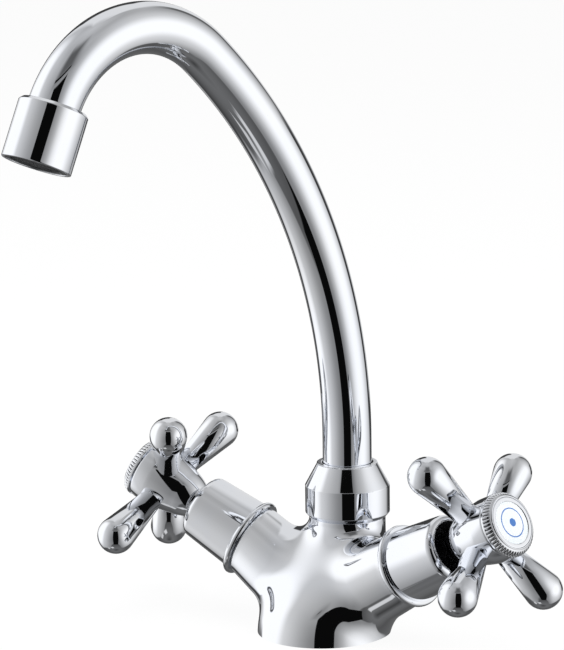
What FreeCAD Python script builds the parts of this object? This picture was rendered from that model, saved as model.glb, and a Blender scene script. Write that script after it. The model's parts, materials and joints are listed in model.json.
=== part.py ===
import FreeCAD, Part
import math
import os

# Deck-mounted two-handle mixer tap with a tall swivelling spout and cross handles.
# Frame: millimetres, +Z up, origin at the centre of the base ring on the deck.
# The hot handle is on the -X side, the cold handle on the +X side, and the spout
# reaches forward, towards -Y.

V = FreeCAD.Vector
UP = V(0, 0, 1)

# Body casting
base_r = 24.1              # radius of the round foot
base_wall_h = 10.0         # upright wall of the foot
base_edge = 1.2            # bevel where the foot meets the deck
neck_y = 16.4              # the spout socket stands behind the foot's centre
neck_r = 14.0
neck_top_z = 40.3
neck_blend_h = 2.0         # the body closes onto the neck this far below its top
spigot_r = 12.7            # threaded spigot inside the nut
spigot_h = 9.2
socket_r = 10.3            # bore that the spout foot turns in
socket_bottom_z = 21.0

# Branches: both valves point outwards, upwards and a little forwards
branch_y = 8.8             # where the two valve axes cross
branch_z = 10.4
branch_rise_deg = 26.8
branch_sweep_deg = 7.2
branch_r = 13.6            # at the mouth
branch_len = 39.6          # crossing point to mouth
branch_root_s = 15.0       # where the branch is thickest
branch_root_gain = 2.1     # extra radius there
branch_root_drop = 1.8     # the root's centre lies lower than the axis
branch_root_front = 4.5    # and further forward, where both branches flow together
seat_s = 15.5              # floor of the valve chamber
chamber_r = 9.3
thread_r = 10.5            # G1/2 bore for the valve
thread_len = 10.6
port_r = 3.4               # water way from the inlet to the valve seat
port_back_s = 8.0
outlet_port_r = 3.0        # water way from the chamber to the spout socket
outlet_port_s = 22.0
outlet_port_z = 24.0

# Supply inlets and fixing stud, tapped into the flat underside
inlet_x = 9.0
inlet_y = 7.7
inlet_r = 4.5              # M10x1, minor radius
inlet_len = 13.0
stud_y = -10.5
stud_r = 3.4               # M8, minor radius
stud_len = 12.0

# Base seal
seal_in_r = 20.4
seal_out_r = 22.6
seal_h = 2.0

# Running and seating clearances
braze_gap = 0.05           # between pieces brazed or screwed together
slide_gap = 0.08           # radial, between pieces that turn on each other
face_gap = 0.3             # between faces that move past each other
seat_gap = 0.02            # between faces clamped together
thread_gap = 0.15          # radial, between a thread and its bore
past = 1.0                 # a cut starts or ends this far outside the metal

# Trim ring and bonnet sleeve round each valve
ring_major_r = 13.9
ring_minor_r = 1.4
ring_width = 2.4
ring_bore_r = 11.6
sleeve_len = 22.3
sleeve_in_r = 13.6         # outer radius beside the ring
sleeve_out_r = 12.3        # outer radius where the end starts to round
sleeve_nose = 2.6          # rounded end
sleeve_bore_r = 11.9
recess_mouth_r = 9.7       # dark recess round the handle's neck
recess_depth = 8.0
web_thick = 2.0
web_bore_r = 7.4

# Valve headwork, G1/2 with ceramic discs
flange_r = 11.3
flange_h = 2.0
gasket_h = 0.6
gasket_in_r = 10.6
hex_across = 17.0
hex_h = 8.0
headwork_neck_r = 7.0
headwork_neck_len = 8.6
cage_r = 8.9
cage_wall = 1.2
window_w = 6.0
window_h = 5.0
spindle_bore_r = 5.1
disc_r = 7.5
disc_h = 3.0
disc_hole_r = 2.2
disc_hole_off = 4.0
seal_ring_h = 1.6
seal_ring_wall = 2.4
driver_h = 3.0
driver_gap = 0.4           # the spindle's driver is this much smaller than the discs
groove_d = 0.9             # O-ring grooves on turned pieces
groove_half_w = 0.9

# Spindle
spindle_r = 5.0
spline_r = 4.0
spline_len = 18.0
spline_teeth = 20
spline_depth = 0.35
circlip_r = 6.2
circlip_h = 0.8
circlip_slot_w = 2.0
spindle_groove_at = 6.0    # first O-ring groove, from the driver
spindle_groove_pitch = 6.0
screw_hole_r = 2.1
screw_hole_depth = 9.0

# Handle
hub_neck_r = 6.4           # narrow end of the hub, inside the sleeve's recess
hub_neck_len = 5.8
hub_len = 29.9
hub_waist_r = 9.2
hub_waist_at = 12.3        # from the narrow end
hub_belly_r = 11.8
hub_belly_at = 23.8
hub_end_r = 11.5
hub_end_edge = 0.5
hub_bulge = 0.3            # how far the flare and the belly swell past a straight cone
hub_tail_bulge = 0.12
hub_core_r = 4.1
hub_pocket_r = 7.9
hub_pocket_depth = 9.0
arm_count = 4
arm_s = 80.3               # plane of the arms along the valve axis
arm_root_r = 4.5
arm_tip_r = 7.0
arm_tip_at = 30.8          # centre of the round end, from the valve axis
arm_root_at = 10.4
arm_spigot_r = 2.6
arm_spigot_len = 1.9
arm_collar_r = 5.0         # short collar where the arm meets the hub
arm_collar_h = 2.0
hot_turn_deg = 54.5
cold_turn_deg = 36.4
screw_head_r = 4.2
screw_head_h = 2.6
screw_shank_len = 10.0
screw_r = 2.0
screw_slot_w = 1.0
screw_slot_h = 1.1

# Index bezel and disc
bezel_rear_r = 11.8
bezel_front_r = 9.95
bezel_h = 3.7
bezel_rim_h = 0.9          # smooth rear rim
bezel_skirt_wall = 1.0
bezel_skirt_len = 3.0
bezel_bulge = 0.45         # crown of the knurled flank
knurl_count = 54
knurl_r = 0.42
knurl_off = 0.65           # the grooves' axes stand off the flank's chord
index_r = 9.35
index_step_r = 7.6
index_step = 0.35
index_h = 2.0
index_dome = 0.7
index_edge = 0.3

# Spout: upright, then a long gentle arc, then the tight arch
tube_r = 9.0
tube_wall = 1.4
spout_swing_deg = 12.7     # the spout rests a little to the hot side
spout_upright_z = 69.1
long_arc_r = 196.5
long_arc_deg = 48.1
arch_r = 40.6
arch_deg = 108.8

# Spout foot and its nut
foot_bottom_z = 26.5
foot_flange_r = 11.6
foot_flange_h = 2.0
foot_groove_at = 4.0       # first O-ring groove, from the foot's lower end
foot_groove_pitch = 5.5
tube_in_foot = 16.0
glide_h = 1.5
glide_bore_gap = 0.18      # radial, round the tube
nut_r = 15.6
nut_low_r = 14.3
nut_low_h = 1.4
nut_top_r = 11.2
nut_cyl_z = 51.8
nut_top_z = 60.4
nut_lip_h = 0.7
nut_bore_gap = 0.35

# Outlet shell and aerator
shell_r = 12.1
shell_len = 21.1
shell_back = 1.2           # how far the shell reaches back over the bend
shell_edge = 1.1
shell_wall = 1.25
shell_foot_edge = 0.6
braze_len = 4.0            # the tube is brazed into the shell over this length
aerator_recess = 0.3       # the insert sits almost flush in the shell
housing_wall = 1.0
housing_lip_w = 0.6
housing_lip_h = 0.4
cage_plate_h = 2.0
cage_rim = 1.0             # wall that stands up from the slotted plate
cage_rim_at = 1.0          # it starts this far inside the housing
cage_slots = 11            # slots each way; the two layers cross and leave square holes
cage_slot_w = 0.9
cage_slot_margin = 1.4     # solid rim round the slots
screen_h = 0.5
washer_h = 1.8
washer_wall = 2.6

# Derived places
socket_top_z = neck_top_z + spigot_h
ring_s = branch_len + seat_gap
sleeve_s = ring_s + ring_width + seat_gap
sleeve_end_s = sleeve_s + sleeve_len
recess_floor_s = sleeve_end_s - recess_depth
web_s = recess_floor_s - web_thick
flange_s = branch_len + gasket_h + 2 * seat_gap
hex_s = flange_s + flange_h
headwork_neck_s = hex_s + hex_h
headwork_end_s = headwork_neck_s + headwork_neck_len
seal_ring_s = seat_s + seat_gap
fixed_disc_s = seal_ring_s + seal_ring_h + seat_gap
moving_disc_s = fixed_disc_s + disc_h + seat_gap
driver_s = moving_disc_s + disc_h + seat_gap
journal_s = driver_s + driver_h
cage_s = seal_ring_s
circlip_s = headwork_end_s + face_gap
spline_s = circlip_s + circlip_h + face_gap
spline_end_s = spline_s + spline_len
hub_s = spline_s
hub_end_s = hub_s + hub_len
hub_floor_s = hub_end_s - hub_pocket_depth
screw_s = hub_floor_s + seat_gap
bezel_s = hub_end_s + seat_gap
index_s = bezel_s + bezel_h - index_h
foot_flange_z = socket_top_z + glide_h + seat_gap + slide_gap
tube_bottom_z = foot_flange_z + foot_flange_h - tube_in_foot
upper_glide_z = foot_flange_z + foot_flange_h + slide_gap
nut_shoulder_z = upper_glide_z + glide_h + seat_gap


def save(shape, name):
    shape.exportStep("parts/" + name + ".step")


def corner(radius, height):
    return V(radius, 0, height)


def turned(points):
    """A solid turned about Z from a closed outline of (radius, height) corners."""
    corners = [corner(r, h) for r, h in points]
    outline = Part.makePolygon(corners + [corners[0]])
    return Part.Face(outline).revolve(V(0, 0, 0), UP, 360)


def turned_edges(edges):
    """A solid turned about Z from a closed outline of ready-made edges."""
    return Part.Face(Part.Wire(edges)).revolve(V(0, 0, 0), UP, 360)


def line(a, b):
    return Part.makeLine(corner(*a), corner(*b))


def arc(a, middle, b):
    return Part.Arc(corner(*a), corner(*middle), corner(*b)).toShape()


def tube(outer, inner, low, high):
    return turned([(inner, low), (outer, low), (outer, high), (inner, high)])


def rod(radius, low, high):
    return Part.makeCylinder(radius, high - low, V(0, 0, low))


def o_ring(radius, wire_r, height):
    return Part.makeTorus(radius, wire_r, V(0, 0, height))


def ring_groove(radius, height):
    """The ring that is cut from a shaft of this radius to take an O-ring."""
    return tube(radius + past, radius - groove_d, height - groove_half_w, height + groove_half_w)


def joined(shapes):
    result = shapes[0]
    if len(shapes) > 1:
        result = result.multiFuse(shapes[1:])
    return result.removeSplitter()


def circle_wire(centre, normal, radius):
    return Part.Wire(Part.makeCircle(radius, centre, normal))


def valve_frame(side):
    """Placement of a valve: local Z runs outwards along the valve axis."""
    rise = math.radians(branch_rise_deg)
    sweep = math.radians(branch_sweep_deg)
    flat = math.cos(rise)
    axis = V(side * flat * math.cos(sweep), -flat * math.sin(sweep), math.sin(rise))
    across = UP.cross(axis)
    across.normalize()
    over = axis.cross(across)
    turn = FreeCAD.Rotation(across, over, axis, "ZXY")
    return FreeCAD.Placement(V(0, branch_y, branch_z), turn)


def on_valve(shape, side):
    placed = shape.copy()
    placed.Placement = valve_frame(side).multiply(placed.Placement)
    return placed


def valve_point(side, along, across=0.0, over=0.0):
    return valve_frame(side).multVec(V(across, over, along))


def branch_solid(side):
    """A leaning cone: its top runs along the axis and its underside flares to the foot."""
    frame = valve_frame(side)
    axis = frame.Rotation.multVec(UP)
    root_r = branch_r + branch_root_gain
    forward = -side * branch_root_front
    root_centre = valve_point(side, branch_root_s, forward, -branch_root_drop)
    inner_centre = valve_point(side, 0, forward, -branch_root_drop)
    root = circle_wire(root_centre, axis, root_r)
    mouth = circle_wire(valve_point(side, branch_len), axis, branch_r)
    inner = circle_wire(inner_centre, axis, root_r)
    stem = Part.makeLoft([root, mouth], True, True)
    core = Part.makeLoft([inner, root], True, True)
    return [stem, core]


def body_casting():
    foot = turned([
        (0, 0),
        (base_r - base_edge, 0),
        (base_r, base_edge),
        (base_r, base_wall_h),
        (0, base_wall_h),
    ])
    blend_z = neck_top_z - neck_blend_h
    lower = circle_wire(V(0, 0, base_wall_h), UP, base_r)
    upper = circle_wire(V(0, neck_y, blend_z), UP, neck_r)
    shoulder = Part.makeLoft([lower, upper], True, True)
    neck = Part.makeCylinder(neck_r, neck_blend_h, V(0, neck_y, blend_z))
    spigot = Part.makeCylinder(spigot_r, spigot_h, V(0, neck_y, neck_top_z))
    branches = branch_solid(1) + branch_solid(-1)
    reach = 4 * branch_len
    above_deck = Part.makeBox(2 * reach, 2 * reach, reach, V(-reach, -reach, base_edge))
    branches = [piece.common(above_deck) for piece in branches]
    body = joined([foot, shoulder, neck, spigot] + branches)
    return body.cut(Part.makeCompound(body_cuts())).removeSplitter()


def body_cuts():
    seal_groove = tube(seal_out_r + braze_gap, seal_in_r - braze_gap, 0, seal_h + seat_gap)
    socket_h = socket_top_z - socket_bottom_z
    socket = Part.makeCylinder(socket_r, socket_h, V(0, neck_y, socket_bottom_z))
    stud = Part.makeCylinder(stud_r, stud_len, V(0, stud_y, 0))
    cuts = [seal_groove, socket, stud]
    for side in (1, -1):
        chamber = rod(chamber_r, seat_s, branch_len)
        thread = rod(thread_r, branch_len - thread_len, branch_len)
        port = rod(port_r, port_back_s, seat_s)
        cuts.append(on_valve(chamber.fuse(thread).fuse(port), side))
        cuts.append(Part.makeCylinder(inlet_r, inlet_len, V(side * inlet_x, inlet_y, 0)))
        start = valve_point(side, outlet_port_s)
        end = V(0, neck_y, outlet_port_z)
        run = end - start
        cuts.append(Part.makeCylinder(outlet_port_r, run.Length, start, run))
    return cuts


def base_seal():
    return tube(seal_out_r, seal_in_r, 0, seal_h)


def trim_ring():
    half = ring_width / 2
    rise = math.sqrt(ring_minor_r ** 2 - half ** 2)
    outer = ring_major_r + rise
    peak = ring_major_r + ring_minor_r
    low = ring_s
    high = ring_s + ring_width
    middle = ring_s + half
    return turned_edges([
        line((ring_bore_r, low), (outer, low)),
        arc((outer, low), (peak, middle), (outer, high)),
        line((outer, high), (ring_bore_r, high)),
        line((ring_bore_r, high), (ring_bore_r, low)),
    ])


def bonnet_sleeve():
    nose_s = sleeve_end_s - sleeve_nose
    lip_r = sleeve_out_r - sleeve_nose
    bend = sleeve_nose * (1 - math.sqrt(0.5))
    shell = turned_edges([
        line((web_bore_r, sleeve_s), (sleeve_in_r, sleeve_s)),
        line((sleeve_in_r, sleeve_s), (sleeve_out_r, nose_s)),
        arc(
            (sleeve_out_r, nose_s),
            (sleeve_out_r - bend, sleeve_end_s - bend),
            (lip_r, sleeve_end_s),
        ),
        line((lip_r, sleeve_end_s), (web_bore_r, sleeve_end_s)),
        line((web_bore_r, sleeve_end_s), (web_bore_r, sleeve_s)),
    ])
    wall = sleeve_in_r - sleeve_bore_r
    far_bore_r = sleeve_out_r - wall
    room = turned([
        (0, sleeve_s),
        (sleeve_bore_r, sleeve_s),
        (far_bore_r, web_s),
        (0, web_s),
    ])
    mouth = rod(recess_mouth_r, recess_floor_s, sleeve_end_s)
    return shell.cut(room).cut(mouth)


def headwork_gasket():
    low = branch_len + seat_gap
    return tube(flange_r, gasket_in_r, low, low + gasket_h)


def headwork_body():
    thread_s = branch_len - thread_len + face_gap
    stem_r = gasket_in_r - thread_gap
    outer = turned([
        (0, cage_s + seal_ring_h + disc_h),
        (cage_r, cage_s + seal_ring_h + disc_h),
        (cage_r, thread_s),
        (stem_r, thread_s),
        (stem_r, flange_s),
        (flange_r, flange_s),
        (flange_r, hex_s),
        (0, hex_s),
    ])
    lower_rim = tube(cage_r, cage_r - cage_wall, cage_s, cage_s + seal_ring_h + disc_h)
    hex_r = hex_across / math.sqrt(3)
    corners = []
    for k in range(7):
        angle = math.radians(60 * k)
        corners.append(V(hex_r * math.cos(angle), hex_r * math.sin(angle), hex_s))
    nut = Part.Face(Part.makePolygon(corners)).extrude(V(0, 0, hex_h))
    neck = rod(headwork_neck_r, headwork_neck_s, headwork_end_s)
    o_groove = ring_groove(headwork_neck_r, web_s + web_thick / 2)
    solid = joined([outer, lower_rim, nut, neck])
    disc_room = rod(cage_r - cage_wall, cage_s, journal_s + face_gap)
    bore = rod(spindle_bore_r, journal_s, headwork_end_s)
    window_z = moving_disc_s - window_h / 2 + disc_h / 2
    window_reach = cage_r + past
    window = Part.makeBox(
        2 * window_reach,
        window_w,
        window_h,
        V(-window_reach, -window_w / 2, window_z),
    )
    return solid.cut(disc_room).cut(bore).cut(window).cut(o_groove)


def sleeve_o_ring():
    groove_s = web_s + web_thick / 2
    wire = (web_bore_r - headwork_neck_r + groove_d) / 2 - seat_gap
    return o_ring(headwork_neck_r - groove_d + wire + seat_gap, wire, groove_s)


def seat_seal():
    return tube(disc_r, disc_r - seal_ring_wall, seal_ring_s, seal_ring_s + seal_ring_h)


def ceramic_disc(low):
    disc = rod(disc_r, low, low + disc_h)
    holes = []
    for side in (1, -1):
        holes.append(Part.makeCylinder(disc_hole_r, disc_h, V(side * disc_hole_off, 0, low)))
    return disc.cut(Part.makeCompound(holes))


def groove_places():
    first = journal_s + spindle_groove_at
    return [first, first + spindle_groove_pitch]


def spindle():
    journal_end = headwork_end_s
    driver = rod(disc_r - driver_gap, driver_s, journal_s)
    journal = rod(spindle_r, journal_s, journal_end)
    clip_neck = rod(spindle_r - groove_d, journal_end, spline_s)
    spline = rod(spline_r, spline_s, spline_end_s)
    solid = joined([driver, journal, clip_neck, spline])
    cuts = [rod(screw_hole_r, spline_end_s - screw_hole_depth, spline_end_s)]
    for place in groove_places():
        cuts.append(ring_groove(spindle_r, place))
    for k in range(spline_teeth):
        angle = 2 * math.pi * k / spline_teeth
        where = V(spline_r * math.cos(angle), spline_r * math.sin(angle), spline_s)
        cuts.append(Part.makeCylinder(spline_depth, spline_len, where))
    return solid.cut(Part.makeCompound(cuts))


def spindle_o_rings():
    wire = (spindle_bore_r - spindle_r + groove_d) / 2 - seat_gap
    centre_r = spindle_r - groove_d + wire + seat_gap
    return Part.makeCompound([o_ring(centre_r, wire, place) for place in groove_places()])


def circlip():
    low = circlip_s
    ring = tube(circlip_r, spindle_r - groove_d + braze_gap, low, low + circlip_h)
    gap = Part.makeBox(circlip_r + past, circlip_slot_w, circlip_h, V(0, -circlip_slot_w / 2, low))
    return ring.cut(gap)


def hub_outline():
    neck_end_s = hub_s + hub_neck_len
    waist_s = hub_s + hub_waist_at
    belly_s = hub_s + hub_belly_at
    return [
        ((hub_neck_r, hub_s), (hub_neck_r, neck_end_s)),
        ((hub_neck_r, neck_end_s), (hub_waist_r, waist_s)),
        ((hub_waist_r, waist_s), (hub_belly_r, belly_s)),
        ((hub_belly_r, belly_s), (hub_end_r, hub_end_s - hub_end_edge)),
        ((hub_end_r, hub_end_s - hub_end_edge), (hub_end_r - hub_end_edge, hub_end_s)),
    ]


def bulged(a, b, bulge):
    """An arc from a to b that stands out from the straight line by the bulge."""
    ra, sa = a
    rb, sb = b
    length = math.hypot(rb - ra, sb - sa)
    out_r = (sb - sa) / length
    out_s = -(rb - ra) / length
    middle = ((ra + rb) / 2 + bulge * out_r, (sa + sb) / 2 + bulge * out_s)
    return arc(a, middle, b)


def handle_hub():
    neck, flare, belly, tail, edge = hub_outline()
    solid = turned_edges([
        line((0, hub_s), neck[0]),
        line(*neck),
        bulged(flare[0], flare[1], hub_bulge),
        bulged(belly[0], belly[1], hub_bulge),
        bulged(tail[0], tail[1], hub_tail_bulge),
        line(*edge),
        line(edge[1], (0, hub_end_s)),
        line((0, hub_end_s), (0, hub_s)),
    ])
    bore = joined([
        rod(hub_core_r, hub_s, spline_end_s + face_gap),
        rod(screw_hole_r, hub_s, hub_floor_s),
        rod(hub_pocket_r, hub_floor_s, hub_end_s),
    ])
    solid = solid.cut(bore)
    hole_floor = arm_root_at - arm_spigot_len - seat_gap
    seat_floor = arm_root_at - seat_gap
    for k in range(arm_count):
        hole = rod(arm_spigot_r + braze_gap, hole_floor, hub_belly_r)
        seat = rod(arm_collar_r + braze_gap, seat_floor, 2 * hub_belly_r)
        solid = solid.cut(arm_pose(hole.fuse(seat), k, 0))
    return solid


def arm_pose(shape, k, turn_deg):
    """Lay a shape that stands on Z across the valve axis, in the plane of the arms."""
    placed = shape.copy()
    lay = FreeCAD.Rotation(V(0, 1, 0), 90)
    spin = FreeCAD.Rotation(UP, turn_deg + 360.0 * k / arm_count)
    placed.Placement = FreeCAD.Placement(V(0, 0, arm_s), spin.multiply(lay))
    return placed


def handle_arm():
    """A club-shaped arm along Z: spigot, collar, tapering stem and round end."""
    root = arm_root_at + arm_collar_h
    slope = (arm_tip_r - arm_root_r) / (arm_tip_at - root)
    tip_cos = math.sqrt(1 - slope ** 2)
    join = (arm_tip_r * tip_cos, arm_tip_at - arm_tip_r * slope)
    tip = (0, arm_tip_at + arm_tip_r)
    half = math.radians(45)
    middle = (arm_tip_r * math.cos(half), arm_tip_at + arm_tip_r * math.sin(half))
    stem_root = (arm_root_r, root)
    base = arm_root_at - arm_spigot_len
    return turned_edges([
        line((0, base), (arm_spigot_r, base)),
        line((arm_spigot_r, base), (arm_spigot_r, arm_root_at)),
        line((arm_spigot_r, arm_root_at), (arm_collar_r, arm_root_at)),
        line((arm_collar_r, arm_root_at), (arm_collar_r, root)),
        line((arm_collar_r, root), stem_root),
        line(stem_root, join),
        arc(join, middle, tip),
        line(tip, (0, base)),
    ])


def handle_arms(turn_deg):
    arm = handle_arm()
    return Part.makeCompound([arm_pose(arm, k, turn_deg) for k in range(arm_count)])


def handle_screw():
    head = rod(screw_head_r, screw_s, screw_s + screw_head_h)
    shank = rod(screw_r, screw_s - screw_shank_len, screw_s)
    slot_low = screw_s + screw_head_h - screw_slot_h
    slot_reach = screw_head_r + past
    slot = Part.makeBox(
        2 * slot_reach,
        screw_slot_w,
        screw_slot_h,
        V(-slot_reach, -screw_slot_w / 2, slot_low),
    )
    return head.fuse(shank).removeSplitter().cut(slot)


def index_bezel():
    rim_s = bezel_s + bezel_rim_h
    end_s = bezel_s + bezel_h
    bezel_skirt_r = hub_pocket_r - braze_gap
    skirt_in_r = bezel_skirt_r - bezel_skirt_wall
    seat_r = index_r + braze_gap
    seat_s_in = index_s - seat_gap
    solid = turned_edges([
        line((skirt_in_r, bezel_s - bezel_skirt_len), (bezel_skirt_r, bezel_s - bezel_skirt_len)),
        line((bezel_skirt_r, bezel_s - bezel_skirt_len), (bezel_skirt_r, bezel_s)),
        line((bezel_skirt_r, bezel_s), (bezel_rear_r, bezel_s)),
        line((bezel_rear_r, bezel_s), (bezel_rear_r, rim_s)),
        bulged((bezel_rear_r, rim_s), (bezel_front_r, end_s), bezel_bulge),
        line((bezel_front_r, end_s), (seat_r, end_s)),
        line((seat_r, end_s), (seat_r, seat_s_in)),
        line((seat_r, seat_s_in), (skirt_in_r, seat_s_in)),
        line((skirt_in_r, seat_s_in), (skirt_in_r, bezel_s - bezel_skirt_len)),
    ])
    run_r = bezel_rear_r - bezel_front_r
    run_s = end_s - rim_s
    slope = V(-run_r, 0, run_s)
    outward = V(run_s, 0, run_r).normalize()
    start = V(bezel_rear_r, 0, rim_s) + outward * knurl_off
    grooves = []
    for k in range(knurl_count):
        spin = FreeCAD.Rotation(UP, 360.0 * k / knurl_count)
        groove = Part.makeCylinder(knurl_r, slope.Length, spin.multVec(start), spin.multVec(slope))
        grooves.append(groove)
    return solid.cut(Part.makeCompound(grooves))


def index_disc():
    end_s = bezel_s + bezel_h
    step_s = end_s - index_step
    crown = step_s + index_dome
    dome_r = (index_step_r ** 2 + index_dome ** 2) / (2 * index_dome)
    half = math.asin(index_step_r / dome_r) / 2
    dome_middle = (dome_r * math.sin(half), crown - dome_r * (1 - math.cos(half)))
    return turned_edges([
        line((0, index_s), (index_r, index_s)),
        line((index_r, index_s), (index_r, end_s - index_edge)),
        line((index_r, end_s - index_edge), (index_r - index_edge, end_s)),
        line((index_r - index_edge, end_s), (index_step_r + index_edge, end_s)),
        line((index_step_r + index_edge, end_s), (index_step_r, step_s)),
        arc((index_step_r, step_s), dome_middle, (0, crown)),
        line((0, crown), (0, index_s)),
    ])


def spout_heading():
    swing = math.radians(spout_swing_deg)
    return V(-math.sin(swing), -math.cos(swing), 0)


def spout_point(reach, height):
    return V(0, neck_y, height) + spout_heading() * reach


def bent_on(start, radius, turn_deg):
    """Reach, height and lean where an arc ends that begins at such a station."""
    reach, height, lean = start
    end_lean = lean + math.radians(turn_deg)
    end_reach = reach + radius * (math.cos(lean) - math.cos(end_lean))
    end_height = height + radius * (math.sin(end_lean) - math.sin(lean))
    return end_reach, end_height, end_lean


def arch_station():
    return bent_on((0, spout_upright_z, 0), long_arc_r, long_arc_deg)


def outlet_station():
    return bent_on(arch_station(), arch_r, arch_deg)


def spout_end_frame():
    """Placement of the outlet: local Z points out of the spout."""
    reach, height, angle = outlet_station()
    heading = spout_heading()
    axis = heading * math.sin(angle) + UP * math.cos(angle)
    side = heading.cross(UP)
    side.normalize()
    turn = FreeCAD.Rotation(side, axis.cross(side), axis, "ZXY")
    return FreeCAD.Placement(spout_point(reach, height), turn)


def at_outlet(shape, back=0.0):
    """Stand a shape on the end of the spout, moved back along the tube where asked."""
    placed = shape.copy()
    placed.Placement = spout_end_frame().multiply(FreeCAD.Placement(V(0, 0, -back), FreeCAD.Rotation()))
    return placed


def in_outlet(shape):
    """Stand a shape in the outlet shell, whose own start is at height 0."""
    return at_outlet(shape, shell_back)


def ring_face(centre, normal):
    outer = circle_wire(centre, normal, tube_r)
    inner = circle_wire(centre, normal, tube_r - tube_wall)
    return Part.Face([outer, inner])


def spout_tube():
    """One tube: a straight length, two arcs bent in one plane and a short straight end."""
    heading = spout_heading()
    bend_axis = UP.cross(heading)
    long_centre = spout_point(long_arc_r, spout_upright_z)
    reach, height, angle = arch_station()
    arch_start = spout_point(reach, height)
    inward = heading * math.cos(angle) - UP * math.sin(angle)
    arch_centre = arch_start + inward * arch_r
    tangent = UP * math.cos(angle) + heading * math.sin(angle)
    upright = ring_face(spout_point(0, tube_bottom_z), UP)
    upright = upright.extrude(UP * (spout_upright_z - tube_bottom_z))
    long_arc = ring_face(spout_point(0, spout_upright_z), UP)
    long_arc = long_arc.revolve(long_centre, bend_axis, long_arc_deg)
    arch = ring_face(arch_start, tangent).revolve(arch_centre, bend_axis, arch_deg)
    end = at_outlet(tube(tube_r, tube_r - tube_wall, 0, tube_in_shell() - shell_back))
    return joined([upright, long_arc, arch, end])


def tube_in_shell():
    return shell_edge + braze_len


def at_neck(shape):
    return shape.translated(V(0, neck_y, 0))


def foot_grooves():
    first = foot_bottom_z + foot_groove_at
    return [first, first + foot_groove_pitch]


def spout_foot():
    foot_r = socket_r - slide_gap
    top_z = foot_flange_z + foot_flange_h
    solid = turned([
        (0, foot_bottom_z),
        (foot_r, foot_bottom_z),
        (foot_r, foot_flange_z),
        (foot_flange_r, foot_flange_z),
        (foot_flange_r, top_z),
        (0, top_z),
    ])
    seat = rod(tube_r + braze_gap, tube_bottom_z - seat_gap, top_z)
    bore = rod(tube_r - tube_wall, foot_bottom_z, top_z)
    cuts = [seat.fuse(bore)]
    for place in foot_grooves():
        cuts.append(ring_groove(foot_r, place))
    return at_neck(solid.cut(Part.makeCompound(cuts)))


def spout_o_rings():
    foot_r = socket_r - slide_gap
    wire = (groove_d + slide_gap) / 2 - seat_gap
    centre_r = foot_r - groove_d + wire + seat_gap
    rings = [at_neck(o_ring(centre_r, wire, place)) for place in foot_grooves()]
    return Part.makeCompound(rings)


def lower_glide_ring():
    low = socket_top_z + seat_gap
    return at_neck(tube(spigot_r, socket_r + slide_gap, low, low + glide_h))


def upper_glide_ring():
    high = upper_glide_z + glide_h
    return at_neck(tube(foot_flange_r, tube_r + glide_bore_gap, upper_glide_z, high))


def spout_nut():
    low = neck_top_z + seat_gap
    bore_r = spigot_r + braze_gap
    head_r = foot_flange_r + slide_gap
    hole_r = tube_r + nut_bore_gap
    lip_z = nut_top_z - nut_lip_h
    return at_neck(turned([
        (bore_r, low),
        (nut_low_r, low),
        (nut_r, low + nut_low_h),
        (nut_r, nut_cyl_z),
        (nut_top_r, lip_z),
        (nut_top_r, nut_top_z),
        (hole_r, nut_top_z),
        (hole_r, nut_shoulder_z),
        (head_r, nut_shoulder_z),
        (head_r, foot_flange_z),
        (bore_r, foot_flange_z),
    ]))


def outlet_shell():
    bore_r = shell_r - shell_wall
    hole_r = tube_r + braze_gap
    room_low = tube_in_shell()
    return in_outlet(turned([
        (hole_r, 0),
        (shell_r - shell_edge, 0),
        (shell_r, shell_edge),
        (shell_r, shell_len - shell_foot_edge),
        (shell_r - shell_foot_edge, shell_len),
        (bore_r, shell_len),
        (bore_r, room_low),
        (hole_r, room_low),
    ]))


def aerator_washer():
    low = tube_in_shell() + seat_gap
    outer = shell_r - shell_wall - braze_gap
    return in_outlet(tube(outer, outer - washer_wall, low, low + washer_h))


def housing_low():
    """The housing stands on the washer."""
    return tube_in_shell() + washer_h + 2 * seat_gap


def aerator_housing():
    outer = shell_r - shell_wall - braze_gap
    inner = outer - housing_wall
    low = housing_low()
    high = shell_len - aerator_recess
    return in_outlet(turned([
        (inner, low),
        (outer, low),
        (outer, high),
        (inner - housing_lip_w, high),
        (inner - housing_lip_w, high - housing_lip_h),
        (inner, high - housing_lip_h),
    ]))


def cage_high():
    return shell_len - aerator_recess - housing_lip_h - seat_gap


def cage_r_out():
    return shell_r - shell_wall - housing_wall - 2 * braze_gap


def aerator_cage():
    """A grid plate across the outlet, with a wall that stands up inside the housing."""
    outer = cage_r_out()
    high = cage_high()
    plate = rod(outer, high - cage_plate_h, high)
    wall = tube(outer, outer - cage_rim, housing_low() + cage_rim_at, high - cage_plate_h)
    slotted_r = outer - cage_slot_margin
    pitch = 2 * slotted_r / cage_slots
    middle_z = high - cage_plate_h / 2
    slots = []
    for k in range(cage_slots):
        where = (k - (cage_slots - 1) / 2) * pitch
        half = math.sqrt(slotted_r ** 2 - where ** 2)
        side = where - cage_slot_w / 2
        outside = V(side, -half, middle_z)
        inside = V(-half, side, high - cage_plate_h)
        slots.append(Part.makeBox(cage_slot_w, 2 * half, cage_plate_h / 2, outside))
        slots.append(Part.makeBox(2 * half, cage_slot_w, cage_plate_h / 2, inside))
    return in_outlet(plate.fuse(wall).removeSplitter().cut(Part.makeCompound(slots)))


def aerator_screen():
    outer = cage_r_out() - cage_rim - braze_gap
    high = cage_high() - cage_plate_h - seat_gap
    return in_outlet(rod(outer, high - screen_h, high))


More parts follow.
